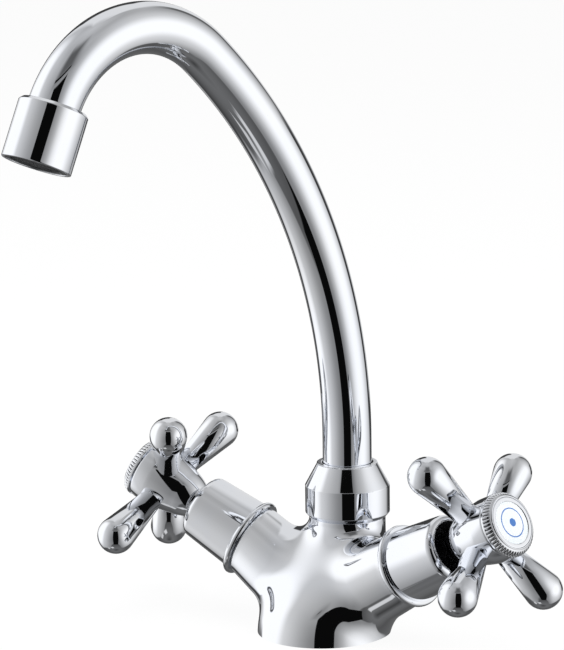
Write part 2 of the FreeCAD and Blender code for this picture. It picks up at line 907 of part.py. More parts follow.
def middle_pieces():
    return {
        "body_casting": body_casting(),
        "base_seal": base_seal(),
        "lower_glide_ring": lower_glide_ring(),
        "upper_glide_ring": upper_glide_ring(),
        "spout_nut": spout_nut(),
        "spout_foot": spout_foot(),
        "spout_o_rings": spout_o_rings(),
        "spout_tube": spout_tube(),
        "outlet_shell": outlet_shell(),
        "aerator_washer": aerator_washer(),
        "aerator_housing": aerator_housing(),
        "aerator_cage": aerator_cage(),
        "aerator_screen": aerator_screen(),
    }


def valve_pieces():
    """The pieces that stand alike on both valves, along local Z."""
    return {
        "trim_ring": trim_ring(),
        "bonnet_sleeve": bonnet_sleeve(),
        "headwork_gasket": headwork_gasket(),
        "headwork_body": headwork_body(),
        "sleeve_o_ring": sleeve_o_ring(),
        "seat_seal": seat_seal(),
        "fixed_disc": ceramic_disc(fixed_disc_s),
        "moving_disc": ceramic_disc(moving_disc_s),
        "spindle": spindle(),
        "spindle_o_rings": spindle_o_rings(),
        "circlip": circlip(),
        "handle_screw": handle_screw(),
        "index_bezel": index_bezel(),
        "index_disc": index_disc(),
    }


def main():
    os.makedirs("parts", exist_ok=True)
    for name, shape in middle_pieces().items():
        save(shape, name)
    alike = valve_pieces()
    hub = handle_hub()
    for label, side, turn in (("hot", -1, hot_turn_deg), ("cold", 1, cold_turn_deg)):
        for name, shape in alike.items():
            save(on_valve(shape, side), label + "_" + name)
        spun = hub.copy()
        spun.rotate(V(0, 0, 0), UP, turn)
        save(on_valve(spun, side), label + "_handle_hub")
        save(on_valve(handle_arms(turn), side), label + "_handle_arms")


main()
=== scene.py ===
# %% [markdown]
# # A chrome mixer tap
# A cast body stands on a round foot. Two valve branches leave it sideways, a tall spout
# swivels in its neck, and a cross handle turns each valve. Nearly all of it is mirror
# chrome, so the looks come from three things: clean curved surfaces, crisp small edges,
# and a studio that is worth reflecting.
#
# The construction comes first and stays fixed. It holds every piece at its real size, and
# this script only dresses it. A piece whose plain shape already looks right keeps its
# shape and gets a finish. A piece that needs finer edges or softer blends is modelled
# again here, in the same place.

# %% Load the fixed frame
import json
import math
from collections import namedtuple

import bmesh
import bpy
import numpy as np
from mathutils import Matrix, Vector

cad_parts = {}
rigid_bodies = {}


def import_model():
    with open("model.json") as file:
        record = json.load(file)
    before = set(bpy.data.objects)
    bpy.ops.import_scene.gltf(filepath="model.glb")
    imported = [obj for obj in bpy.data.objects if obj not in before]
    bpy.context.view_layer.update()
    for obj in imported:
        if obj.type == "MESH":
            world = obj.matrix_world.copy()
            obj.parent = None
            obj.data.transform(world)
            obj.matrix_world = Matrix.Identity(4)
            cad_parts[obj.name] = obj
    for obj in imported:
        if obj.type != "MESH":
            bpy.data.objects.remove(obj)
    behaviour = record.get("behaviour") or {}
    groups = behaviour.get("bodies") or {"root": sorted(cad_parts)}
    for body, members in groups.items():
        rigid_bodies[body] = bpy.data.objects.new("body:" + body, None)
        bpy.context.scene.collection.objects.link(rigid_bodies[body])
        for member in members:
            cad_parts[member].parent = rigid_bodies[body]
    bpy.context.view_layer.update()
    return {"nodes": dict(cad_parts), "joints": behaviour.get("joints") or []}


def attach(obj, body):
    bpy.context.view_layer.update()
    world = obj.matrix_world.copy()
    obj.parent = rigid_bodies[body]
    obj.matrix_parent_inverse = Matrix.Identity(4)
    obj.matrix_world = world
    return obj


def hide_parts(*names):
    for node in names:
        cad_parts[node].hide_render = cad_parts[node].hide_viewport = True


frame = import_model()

MM = 0.001
JOINTS = {joint["name"]: joint for joint in frame["joints"]}
print("nodes:", len(frame["nodes"]), " joints:", ", ".join(JOINTS))

# %% [markdown]
# ## Camera
# A long lens far away keeps the upright tap from looking splayed. The camera could be aimed
# by hand until it looks right, but a tall curved spout shows every degree of error. Its
# place was solved instead from the round arm ends and the tube's edges, so it is written
# here as a place and three turns.

# %% Camera
CAMERA_PLACE = Vector((0.63084, -0.87096, 0.31167))
CAMERA_TURN = math.radians(36.64)
CAMERA_NOD = math.radians(-10.41)
CAMERA_ROLL = math.radians(-0.70)
LENS = 167.96
SENSOR = 36.0
CLIP_NEAR = 0.01
CLIP_FAR = 50
TAP_MIDDLE = Vector((0, 0, 0.12))


def camera_axes():
    """Right, up and forward of the camera, as unit vectors."""
    flat = math.cos(CAMERA_NOD)
    forward = Vector((
        -math.sin(CAMERA_TURN) * flat,
        math.cos(CAMERA_TURN) * flat,
        math.sin(CAMERA_NOD),
    ))
    level_right = Vector((math.cos(CAMERA_TURN), math.sin(CAMERA_TURN), 0))
    level_up = level_right.cross(forward)
    right = level_right * math.cos(CAMERA_ROLL) + level_up * math.sin(CAMERA_ROLL)
    up = level_up * math.cos(CAMERA_ROLL) - level_right * math.sin(CAMERA_ROLL)
    return right, up, forward


def make_camera():
    lens = bpy.data.cameras.new("studio_camera")
    lens.lens = LENS
    lens.sensor_width = SENSOR
    lens.clip_start = CLIP_NEAR
    lens.clip_end = CLIP_FAR
    camera = bpy.data.objects.new("studio_camera", lens)
    bpy.context.scene.collection.objects.link(camera)
    right, up, forward = camera_axes()
    turn = Matrix((right, up, -forward)).transposed().to_4x4()
    camera.matrix_world = Matrix.Translation(CAMERA_PLACE) @ turn
    bpy.context.scene.camera = camera


make_camera()
print("camera %.2f m from the tap's middle" % (CAMERA_PLACE - TAP_MIDDLE).length)

# %% [markdown]
# ## Small tools for nodes
# Node graphs are built in code by making a node, setting it and linking it. Most of them
# here are sums, so one helper makes a sum from sockets or plain numbers and hands back its
# output, and others do the same for a soft mask and for a mix of two colours. Long graphs
# then read like ordinary arithmetic.

# %% Node tools


def feed(tree, socket, value):
    """Links a socket into another, or writes a plain value on it."""
    if isinstance(value, bpy.types.NodeSocket):
        tree.links.new(value, socket)
    else:
        socket.default_value = value


def calc(tree, operation, *values):
    """One Math node: its output socket."""
    node = tree.nodes.new("ShaderNodeMath")
    node.operation = operation
    for socket, value in zip(node.inputs, values):
        feed(tree, socket, value)
    return node.outputs[0]


def vector_calc(tree, operation, *values):
    """One Vector Math node: the output in use, which is a vector or a number."""
    node = tree.nodes.new("ShaderNodeVectorMath")
    node.operation = operation
    for socket, value in zip(node.inputs, values):
        feed(tree, socket, value)
    return next(socket for socket in node.outputs if socket.enabled)


def between(tree, value, start, full):
    """A mask that rises smoothly from 0 at start to 1 at full."""
    node = tree.nodes.new("ShaderNodeMapRange")
    node.interpolation_type = "SMOOTHSTEP"
    feed(tree, node.inputs["Value"], value)
    feed(tree, node.inputs["From Min"], start)
    feed(tree, node.inputs["From Max"], full)
    return node.outputs["Result"]


def mixed(tree, share, first, second):
    """A colour between two colours."""
    node = tree.nodes.new("ShaderNodeMixRGB")
    feed(tree, node.inputs["Fac"], share)
    feed(tree, node.inputs["Color1"], first)
    feed(tree, node.inputs["Color2"], second)
    return node.outputs["Color"]


def grey(level):
    return (level, level, level, 1)


print("middle grey is", grey(0.5))

# %% [markdown]
# ## Studio
# Chrome has no colour of its own: it shows the room. A product photographer stands the
# piece between two large soft boxes and leaves a narrow unlit slot round the camera, which
# gives every upright cylinder a crisp black stripe. Dark flags behind the piece draw the
# thin dark line along its edges.
#
# The room could be built from real glowing panels, but they would get in the way of other
# views and throw noise. A painted world is smoother: each panel is an ellipse or a square
# in degrees round the horizon and above it, laid over a plain ramp from floor to ceiling.
# The camera itself sees white.
#
# The wall and the floor are grey levels at heights in degrees, and the floor line says how
# high the floor reaches at each turn. A panel is full as far out as its core, which is a
# share of its half width and half height, and its lean shifts it sideways as it rises.

# %% Studio panels
Panel = namedtuple("Panel", "name shape around height half_wide half_high core level lean")
SLOT_TURN = math.radians(54.1)
SLOT_BLACK = 0.003
WALL = [
    (-70, 0.22),
    (-40, 0.25),
    (-20, 0.20),
    (0, 0.21),
    (20, 0.27),
    (44, 0.38),
    (56, 0.45),
    (68, 0.42),
    (90, 0.57),
]
FLOOR = [(-90, 0.05), (-76, 0.15), (-64, 0.13), (-50, 0.09), (-20, 0.14)]
FLOOR_LINE = [
    (-180, -9),
    (-150, -35),
    (-120, -46),
    (-95, -58),
    (-60, -66),
    (-40, -54),
    (-15, -38),
    (15, -38),
    (30, -50),
    (60, -65),
    (90, -63),
    (120, -37),
    (150, -22),
    (180, -9),
]
FLOOR_LINE_SOFT = 3
LIGHTS = [
    Panel("glow on the left", "round", -101, 3, 93, 93, 0.0, 0.86, 0),
    Panel("glow on the right", "round", 84, 1, 71, 71, 0.45, 0.71, 0),
    Panel("left soft box", "round", -112, 10, 41, 56, 0.56, 1.12, 0),
    Panel("right soft box", "round", 78, 4, 47, 41, 0.33, 1.12, 0),
    Panel("light behind", "square", 180, 32, 40, 56, 0.64, 0.78, 0),
]
FLAGS = [
    Panel("right flag", "square", 140, -2, 12, 11.5, 0.75, 0.04, 0),
    Panel("right flag's stand", "square", 149, 21, 9, 33, 0.4, 0.12, -0.1),
    Panel("left flag", "square", -144.5, -28, 12.5, 23, 0.5, 0.06, 0),
    Panel("left flag's stand", "square", -168, 9, 14, 28, 0.8, 0.05, 0),
    Panel("haze over the slot", "square", 1, 55, 36, 22, 0.25, 0.11, 0),
    Panel("slot at the camera", "square", 1.5, -4.5, 17.5, 43, 0.95, SLOT_BLACK, 0),
    Panel("bar over the slot", "square", -3, 43.5, 22, 1.3, 0.9, SLOT_BLACK, 0),
    Panel("gleam on the table", "square", -42, -66, 20, 7, 0.45, 0.68, -0.7),
    Panel("edge of the table", "square", -88, -62, 13, 4.5, 0.7, 0.6, 0),
    Panel("rail behind", "square", 170, -12.5, 40, 2.2, 0.6, 0.05, 0),
]


def paint_ramp(node, stops, low, high):
    """Puts (place, level) stops on a colour ramp whose ends stand for low and high."""
    points = node.color_ramp.elements
    while len(points) > 2:
        points.remove(points[-1])
    for index, (place, level) in enumerate(stops):
        spot = (place - low) / (high - low)
        if index < 2:
            points[index].position = spot
        else:
            points.new(spot)
        points[index].color = grey(level)


def paint_panel(tree, room, around, height, panel):
    """Lays one panel over the room. Its light is full as far out as its core."""
    rise = calc(tree, "SUBTRACT", height, panel.height)
    leaning = calc(tree, "ADD", calc(tree, "MULTIPLY", rise, panel.lean), panel.around)
    turn = calc(tree, "WRAP", calc(tree, "SUBTRACT", around, leaning), 180.0, -180.0)
    across = calc(tree, "ABSOLUTE", calc(tree, "DIVIDE", turn, panel.half_wide))
    above = calc(tree, "ABSOLUTE", calc(tree, "DIVIDE", rise, panel.half_high))
    if panel.shape == "round":
        wide_square = calc(tree, "POWER", across, 2.0)
        high_square = calc(tree, "POWER", above, 2.0)
        out = calc(tree, "SQRT", calc(tree, "ADD", wide_square, high_square))
    else:
        out = calc(tree, "MAXIMUM", across, above)
    return mixed(tree, between(tree, out, 1.0, panel.core), room, grey(panel.level))


def ramp_over(tree, value, stops, low, high):
    """A ramp read at a value between low and high."""
    node = tree.nodes.new("ShaderNodeValToRGB")
    paint_ramp(node, stops, low, high)
    share = calc(tree, "DIVIDE", calc(tree, "SUBTRACT", value, low), high - low)
    tree.links.new(share, node.inputs["Fac"])
    return node.outputs["Color"]


def paint_room(tree, around, height):
    """Wall and lights, then the dark floor up to its line, then the flags."""
    room = ramp_over(tree, height, WALL, -90, 90)
    for panel in LIGHTS:
        room = paint_panel(tree, room, around, height, panel)
    line_stops = [(place, (line + 90) / 180) for place, line in FLOOR_LINE]
    line = calc(tree, "MULTIPLY", ramp_over(tree, around, line_stops, -180, 180), 180.0)
    below = calc(tree, "SUBTRACT", calc(tree, "SUBTRACT", line, 90.0), height)
    on_floor = between(tree, below, float(-FLOOR_LINE_SOFT), float(FLOOR_LINE_SOFT))
    room = mixed(tree, on_floor, room, ramp_over(tree, height, FLOOR, -90, 90))
    for panel in FLAGS:
        room = paint_panel(tree, room, around, height, panel)
    return room


def make_world():
    world = bpy.data.worlds.new("two_soft_boxes")
    bpy.context.scene.world = world
    world.use_nodes = True
    tree = world.node_tree
    tree.nodes.clear()
    direction = tree.nodes.new("ShaderNodeTexCoord").outputs["Generated"]
    spin = tree.nodes.new("ShaderNodeVectorRotate")
    spin.rotation_type = "Z_AXIS"
    spin.inputs["Angle"].default_value = SLOT_TURN
    tree.links.new(direction, spin.inputs["Vector"])
    split = tree.nodes.new("ShaderNodeSeparateXYZ")
    tree.links.new(spin.outputs["Vector"], split.inputs["Vector"])
    bearing = calc(tree, "ARCTAN2", split.outputs["Y"], split.outputs["X"])
    around = calc(tree, "DEGREES", bearing)
    height = calc(tree, "DEGREES", calc(tree, "ARCSINE", split.outputs["Z"]))
    room = paint_room(tree, around, height)
    seen = tree.nodes.new("ShaderNodeLightPath").outputs["Is Camera Ray"]
    glow = tree.nodes.new("ShaderNodeBackground")
    tree.links.new(mixed(tree, seen, room, grey(1)), glow.inputs["Color"])
    out = tree.nodes.new("ShaderNodeOutputWorld")
    tree.links.new(glow.outputs[0], out.inputs["Surface"])


make_world()
print("the room has", len(LIGHTS), "lights and", len(FLAGS), "flags and gaps")

# %% [markdown]
# The floor is a wide pale sheet. It is bright to the camera and keeps a soft shadow under
# the foot. The chrome must see the painted room and not the sheet, so the sheet is hidden
# from mirror rays, as a retoucher would mask it out of the reflections. Three soft lamps
# light what isn't metal, and they hide from mirror rays too.

# %% Floor and lamps
FLOOR_REACH = 8.0
FLOOR_PALE = 0.9
FLOOR_GLOW = 0.93
Lamp = namedtuple("Lamp", "name place size power")
LAMPS = [
    Lamp("left_soft_lamp", (-0.9, -1.3, 1.12), 1.2, 14),
    Lamp("right_soft_lamp", (1.5, -0.2, 0.96), 1.2, 14),
    Lamp("top_soft_lamp", (0.1, 0.1, 1.6), 1.4, 16),
]
LAMP_TARGET = Vector((0, 0, 0.08))


def make_floor():
    mesh = bpy.data.meshes.new("pale_floor")
    reach = FLOOR_REACH
    corners = [(-reach, -reach, 0), (reach, -reach, 0), (reach, reach, 0), (-reach, reach, 0)]
    mesh.from_pydata(corners, [], [(0, 1, 2, 3)])
    floor = bpy.data.objects.new("pale_floor", mesh)
    bpy.context.scene.collection.objects.link(floor)
    paint = bpy.data.materials.new("pale_floor")
    paint.use_nodes = True
    tree = paint.node_tree
    tree.nodes.clear()
    lit = tree.nodes.new("ShaderNodeBsdfDiffuse")
    lit.inputs["Color"].default_value = grey(FLOOR_PALE)
    glow = tree.nodes.new("ShaderNodeEmission")
    blend = tree.nodes.new("ShaderNodeMixShader")
    blend.inputs["Fac"].default_value = FLOOR_GLOW
    out = tree.nodes.new("ShaderNodeOutputMaterial")
    tree.links.new(lit.outputs[0], blend.inputs[1])
    tree.links.new(glow.outputs[0], blend.inputs[2])
    tree.links.new(blend.outputs[0], out.inputs["Surface"])
    mesh.materials.append(paint)
    floor.visible_glossy = False
    floor.visible_diffuse = False


def make_lamp(lamp):
    """A square lamp that looks at the tap and stays out of the reflections."""
    light = bpy.data.lights.new(lamp.name, "AREA")
    light.size = lamp.size
    light.energy = lamp.power
    made = bpy.data.objects.new(lamp.name, light)
    made.location = lamp.place
    made.rotation_mode = "QUATERNION"
    made.rotation_quaternion = (LAMP_TARGET - Vector(lamp.place)).to_track_quat("-Z", "Y")
    made.visible_glossy = False
    bpy.context.scene.collection.objects.link(made)


make_floor()
for lamp in LAMPS:
    make_lamp(lamp)
bpy.context.scene.view_settings.view_transform = "Standard"
print("the floor and", len(LAMPS), "lamps are set")

# %% [markdown]
# ## Axes from the frame
# The valve axes and the swivel axis come from the frame's joints, so each piece lands where
# the construction has it. Local Z runs outwards along a valve. Everything below is written
# in millimetres along such an axis, as a turner would read a drawing, and it is carried
# into place at the end.

# %% Axes


def axis_frame(joint_name):
    """A matrix in millimetres whose Z is a joint's axis."""
    joint = JOINTS[joint_name]
    axis = Vector(joint["axis"]).normalized()
    across = Vector((0, 0, 1)).cross(axis).normalized()
    over = axis.cross(across)
    turn = Matrix((across, over, axis)).transposed().to_4x4()
    return Matrix.Translation(Vector(joint["pos_m"]) / MM) @ turn


VALVES = {"hot": axis_frame("hot_valve"), "cold": axis_frame("cold_valve")}
SWIVEL = Vector(JOINTS["spout_swivel"]["pos_m"]) / MM
NECK_FRAME = Matrix.Translation((SWIVEL.x, SWIVEL.y, 0))


def moved(points, matrix):
    """Points carried by a 4x4 matrix whose place is in millimetres."""
    turn = np.array(matrix.to_3x3())
    place = np.array(matrix.to_translation())
    return np.asarray(points) @ turn.T + place


def heights_and_radii(points, matrix):
    """Where points lie along a matrix's Z, and how far from it."""
    local = moved(points, matrix.inverted())
    return local[:, 2], np.hypot(local[:, 0], local[:, 1])


def reach_along(node, matrix):
    """Lowest and highest place of a node along a matrix's Z."""
    mesh = frame["nodes"][node].data
    points = np.empty(len(mesh.vertices) * 3)
    mesh.vertices.foreach_get("co", points)
    heights = heights_and_radii(points.reshape(-1, 3) / MM, matrix)[0]
    return heights.min(), heights.max()


def axis_of(matrix):
    """A point on a matrix's Z axis, and the way it runs, as an effect takes them."""
    return tuple(matrix.to_translation()), tuple(matrix.to_3x3().col[2])


for side, matrix in VALVES.items():
    print(side, "sleeve from %.1f to %.1f mm" % reach_along(side + "_bonnet_sleeve", matrix))

# %% [markdown]
# ## Effects that several finishes share
# A finish is never one flat colour. Plating drifts a little in tint, a polishing wheel leaves
# slow waves and hazy patches, and a lathe tool leaves fine rings. Each effect could be
# painted as an image, but then it would need a flat layout for every piece and would blur
# close up. Here each one is a small node group made from noise and sums. It is built once
# and gets its own values in every material.
#
# All places and sizes in the groups are in millimetres. A height comes out in metres,
# ready for a Bump node.

# %% Tools for effects
SOCKETS = {
    "number": "NodeSocketFloat",
    "colour": "NodeSocketColor",
    "place": "NodeSocketVector",
}


def new_effect(name, inputs, outputs):
    """An empty shader node group with named sockets."""
    tree = bpy.data.node_groups.new(name, "ShaderNodeTree")
    for label, kind, value in inputs:
        socket = tree.interface.new_socket(label, in_out="INPUT", socket_type=SOCKETS[kind])
        socket.default_value = value
    for label, kind in outputs:
        tree.interface.new_socket(label, in_out="OUTPUT", socket_type=SOCKETS[kind])
    start = tree.nodes.new("NodeGroupInput")
    end = tree.nodes.new("NodeGroupOutput")
    return tree, start.outputs, end.inputs


def place_in_mm(tree):
    """The place on the piece, in millimetres. It stays with the piece when it moves."""
    place = tree.nodes.new("ShaderNodeTexCoord").outputs["Object"]
    node = tree.nodes.new("ShaderNodeVectorMath")
    node.operation = "SCALE"
    node.inputs["Scale"].default_value = 1 / MM
    tree.links.new(place, node.inputs[0])
    return node.outputs["Vector"]


def cloud(tree, size, detail):
    """Soft noise between about 0.3 and 0.7, with patches of the given size."""
    node = tree.nodes.new("ShaderNodeTexNoise")
    tree.links.new(place_in_mm(tree), node.inputs["Vector"])
    feed(tree, node.inputs["Scale"], calc(tree, "DIVIDE", 1.0, size))
    node.inputs["Detail"].default_value = detail
    return node.outputs["Fac"]


def along_and_out(tree, axis_point, axis):
    """How far along an axis a place lies, and how far out from it."""
    place = place_in_mm(tree)
    away = vector_calc(tree, "SUBTRACT", place, axis_point)
    along = vector_calc(tree, "DOT_PRODUCT", away, axis)
    out = vector_calc(tree, "LENGTH", vector_calc(tree, "CROSS_PRODUCT", away, axis))
    return along, out


print("an effect takes or gives a", ", a ".join(SOCKETS))

# %% [markdown]
# **Colour drift** moves slowly between two close colours. It keeps plating, brass and
# plastic from looking like paint out of a tin.
#
# **Polish haze** drives roughness: clear patches beside faintly hazy ones.

# %% Colour drift and polish haze
DRIFT_DETAIL = 3.0
DRIFT_SPAN = (0.38, 0.62)
HAZE_DETAIL = 4.0
HAZE_SPAN = (0.35, 0.65)


def make_colour_drift():
    tree, given, result = new_effect(
        "colour_drift",
        [("First", "colour", grey(0.8)),
         ("Second", "colour", grey(0.7)),
         ("Patch size", "number", 20.0)],
        [("Colour", "colour")],
    )
    share = between(tree, cloud(tree, given["Patch size"], DRIFT_DETAIL), *DRIFT_SPAN)
    feed(tree, result["Colour"], mixed(tree, share, given["First"], given["Second"]))
    return tree


def make_polish_haze():
    tree, given, result = new_effect(
        "polish_haze",
        [("Patch size", "number", 12.0),
         ("Clearest", "number", 0.02),
         ("Haziest", "number", 0.05)],
        [("Roughness", "number")],
    )
    share = between(tree, cloud(tree, given["Patch size"], HAZE_DETAIL), *HAZE_SPAN)
    spread = calc(tree, "SUBTRACT", given["Haziest"], given["Clearest"])
    extra = calc(tree, "MULTIPLY", share, spread)
    feed(tree, result["Roughness"], calc(tree, "ADD", given["Clearest"], extra))
    return tree


COLOUR_DRIFT = make_colour_drift()
POLISH_HAZE = make_polish_haze()
print("made", COLOUR_DRIFT.name, "and", POLISH_HAZE.name)

# %% [markdown]
# **Soft waves** are what a wheel leaves on a casting, and, finer, the grain of moulded
# plastic and rubber. The same group serves both, because only the size and depth differ.
#
# **Turning rings** follow the lathe tool: noise that depends only on how far along the
# axis and how far out a place is, so it draws rings on any turned face.
#
# ** Shade towards one end** darkens metal towards one end of an axis: painted shade for a recess.

# %% Soft waves, turning rings and painted shade
WAVE_DETAIL = 1.0
NOISE_MIDDLE = 0.5
RAGGED_PATCH = 1.5
RAGGED_DETAIL = 3.0
RAGGED_REACH = 3.0


def make_soft_waves():
    tree, given, result = new_effect(
        "soft_waves",
        [("Wave length", "number", 10.0), ("Depth", "number", 0.005)],
        [("Height", "number")],
    )
    noise = cloud(tree, given["Wave length"], WAVE_DETAIL)
    swing = calc(tree, "SUBTRACT", noise, NOISE_MIDDLE)
    depth = calc(tree, "MULTIPLY", given["Depth"], MM)
    feed(tree, result["Height"], calc(tree, "MULTIPLY", swing, depth))
    return tree


def make_turning_rings():
    tree, given, result = new_effect(
        "turning_rings",
        [("Axis point", "place", (0, 0, 0)), ("Axis", "place", (0, 0, 1)),
         ("Pitch", "number", 0.2), ("Depth", "number", 0.001)],
        [("Height", "number")],
    )
    along, out = along_and_out(tree, given["Axis point"], given["Axis"])
    rings = tree.nodes.new("ShaderNodeTexNoise")
    rings.noise_dimensions = "1D"
    travel = calc(tree, "ADD", along, out)
    tree.links.new(calc(tree, "DIVIDE", travel, given["Pitch"]), rings.inputs["W"])
    rings.inputs["Scale"].default_value = 1.0
    swing = calc(tree, "SUBTRACT", rings.outputs["Fac"], NOISE_MIDDLE)
    depth = calc(tree, "MULTIPLY", given["Depth"], MM)
    feed(tree, result["Height"], calc(tree, "MULTIPLY", swing, depth))
    return tree


def make_shade_towards_end():
    tree, given, result = new_effect(
        "shade_towards_one_end",
        [("Unshaded", "colour", grey(0.8)), ("Painted shade", "colour", grey(0.02)),
         ("Axis point", "place", (0, 0, 0)), ("Axis", "place", (0, 0, 1)),
         ("Starts at", "number", 0.0), ("Full at", "number", 10.0)],
        [("Colour", "colour"), ("Mask", "number")],
    )
    along = along_and_out(tree, given["Axis point"], given["Axis"])[0]
    noise = cloud(tree, RAGGED_PATCH, RAGGED_DETAIL)
    ragged = calc(tree, "ADD", along, calc(tree, "MULTIPLY", noise, RAGGED_REACH))
    mask = between(tree, ragged, given["Starts at"], given["Full at"])
    feed(tree, result["Mask"], mask)
    feed(tree, result["Colour"], mixed(tree, mask, given["Unshaded"], given["Painted shade"]))
    return tree


SOFT_WAVES = make_soft_waves()
TURNING_RINGS = make_turning_rings()
SHADE_TOWARDS_END = make_shade_towards_end()
print("effects:", ", ".join(group.name for group in bpy.data.node_groups))

# %% [markdown]
# ## Finishes
# Each finish is one Principled shader. Numbers that are the same all over, such as metallic,
# stand on the shader itself. Only what varies over the surface comes from the effects:
# colour, roughness and the height that a Bump node turns into shading.
#
# A finish is written as its two colours and the size of their patches, then its haze as the
# clearest and the haziest roughness and the size of those patches, then its heights.

# %% Tools for finishes
METAL = 1.0
NOT_METAL = 0.0
Haze = namedtuple("Haze", "clearest haziest patch")


def apply_effect(tree, effect, values):
    """Places an effect with its own values: its output sockets."""
    node = tree.nodes.new("ShaderNodeGroup")
    node.node_tree = effect
    for label, value in values.items():
        feed(tree, node.inputs[label], value)
    return node.outputs


def new_finish(name, metallic, first, second, patch, haze, heights):
    """A finish whose colour drifts, whose roughness has haze, and whose heights add up."""
    finish = bpy.data.materials.new(name)
    finish.use_nodes = True
    tree = finish.node_tree
    shader = tree.nodes["Principled BSDF"]
    shader.inputs["Metallic"].default_value = metallic
    drift = apply_effect(tree, COLOUR_DRIFT, {
        "First": (*first, 1), "Second": (*second, 1), "Patch size": patch})
    tree.links.new(drift["Colour"], shader.inputs["Base Color"])
    rough = apply_effect(tree, POLISH_HAZE, {
        "Patch size": haze.patch, "Clearest": haze.clearest, "Haziest": haze.haziest})
    tree.links.new(rough["Roughness"], shader.inputs["Roughness"])
    total = None
    for effect, values in heights:
        height = apply_effect(tree, effect, values)["Height"]
        total = height if total is None else calc(tree, "ADD", total, height)
    bump = tree.nodes.new("ShaderNodeBump")
    bump.inputs["Strength"].default_value = 1.0
    bump.inputs["Distance"].default_value = 1.0
    tree.links.new(total, bump.inputs["Height"])
    tree.links.new(bump.outputs["Normal"], shader.inputs["Normal"])
    return finish


def waves(length, depth):
    return SOFT_WAVES, {"Wave length": length, "Depth": depth}


def rings(matrix, pitch, depth):
    """Turning rings about a matrix's Z."""
    point, axis = axis_of(matrix)
    return TURNING_RINGS, {"Axis point": point, "Axis": axis, "Pitch": pitch, "Depth": depth}


print("a finish joins", COLOUR_DRIFT.name, "and", POLISH_HAZE.name, "with its own heights")

# %% [markdown]
# **Chrome plate** is a very thin, very hard mirror. It copies whatever lies under it, so
# there are three kinds here. On the casting and the handles a polishing wheel has left slow
# waves. The drawn tube is the truest surface. Turned pieces keep a trace of the tool. All
# three are slightly blue, which is what tells chrome from nickel and steel.

# %% Chrome
CHROME_BLUE = (0.862, 0.885, 0.932)
CHROME_PALE = (0.880, 0.895, 0.925)
CAST_CHROME = new_finish(
    "cast_chrome", METAL, CHROME_BLUE, CHROME_PALE, patch=30.0,
    haze=Haze(0.015, 0.04, patch=14.0), heights=[waves(16.0, 0.030), waves(5.0, 0.0025)])
TUBE_CHROME = new_finish(
    "tube_chrome", METAL, CHROME_BLUE, CHROME_PALE, patch=60.0,
    haze=Haze(0.012, 0.03, patch=25.0), heights=[waves(30.0, 0.020)])


def turned_chrome(name, matrix):
    """Chrome on a turned piece, with the tool's rings about the piece's own axis."""
    return new_finish(
        name, METAL, CHROME_BLUE, CHROME_PALE, patch=25.0,
        haze=Haze(0.015, 0.035, patch=10.0),
        heights=[waves(12.0, 0.008), rings(matrix, 0.35, 0.00012)])


TURNED_CHROME = {}
for side, matrix in VALVES.items():
    TURNED_CHROME[side] = turned_chrome(side + "_turned_chrome", matrix)
TURNED_CHROME["neck"] = turned_chrome("neck_turned_chrome", NECK_FRAME)
print("chrome: cast, tube, and turned for", ", ".join(TURNED_CHROME))

# %% [markdown]
# ** Brass, steel and ceramic** are the hidden works. Brass that sits in the recess behind a
# handle is painted darker towards the recess, nearly black: painted shade, which makes the
# recess read as a dark crescent. The inside of the sleeve gets a near-black finish as painted
# shade too.

# %% Brass, steel and ceramic
BRASS_BRIGHT = (0.80, 0.60, 0.30)
BRASS_DULL = (0.66, 0.47, 0.22)
# Near-black colours for painted shade in the recess.
SHADE_BLACK = (0.012, 0.012, 0.014)
SHADE_BLACK_PALE = (0.022, 0.021, 0.022)
RECESS_DEPTH = 8.0
SHADE_STARTS = 7.0
SHADE_FULL = 1.0


def plain_brass(name, matrix):
    return new_finish(
        name, METAL, BRASS_BRIGHT, BRASS_DULL, patch=9.0, haze=Haze(0.16, 0.34, patch=5.0),
        heights=[rings(matrix, 0.25, 0.004), waves(3.0, 0.002)])


def valve_brass_painted_shade(side, matrix):
    """Brass painted darker towards the recess behind the handle: painted shade."""
    finish = plain_brass(side + "_valve_brass_painted_shade", matrix)
    tree = finish.node_tree
    shader = tree.nodes["Principled BSDF"]
    point, axis = axis_of(matrix)
    recess_floor = reach_along(side + "_bonnet_sleeve", matrix)[1] - RECESS_DEPTH
    # The brass is painted nearly black towards the recess: painted shade.
    recess_shade = apply_effect(tree, SHADE_TOWARDS_END, {
        "Unshaded": (*BRASS_BRIGHT, 1), "Painted shade": (*SHADE_BLACK, 1),
        "Axis point": point, "Axis": axis,
        "Starts at": recess_floor - SHADE_STARTS, "Full at": recess_floor - SHADE_FULL})
    tree.links.new(recess_shade["Colour"], shader.inputs["Base Color"])
    rough = shader.inputs["Roughness"].links[0].from_socket
    tree.links.new(calc(tree, "MAXIMUM", rough, recess_shade["Mask"]), shader.inputs["Roughness"])
    return finish


BRASS = {side: valve_brass_painted_shade(side, matrix) for side, matrix in VALVES.items()}
BRASS["neck"] = plain_brass("neck_brass", NECK_FRAME)
# A near-black finish: painted shade in the sleeve's recess and between the bezel's beads.
PAINTED_SHADE_BLACK = new_finish(
    "painted_recess_shade", NOT_METAL, SHADE_BLACK, SHADE_BLACK_PALE, patch=4.0,
    haze=Haze(0.75, 0.95, patch=3.0), heights=[waves(1.2, 0.02)])
STEEL = new_finish(
    "stainless_steel", METAL, (0.62, 0.62, 0.61), (0.54, 0.54, 0.54), patch=4.0,
    haze=Haze(0.18, 0.34, patch=2.0), heights=[waves(0.4, 0.003)])
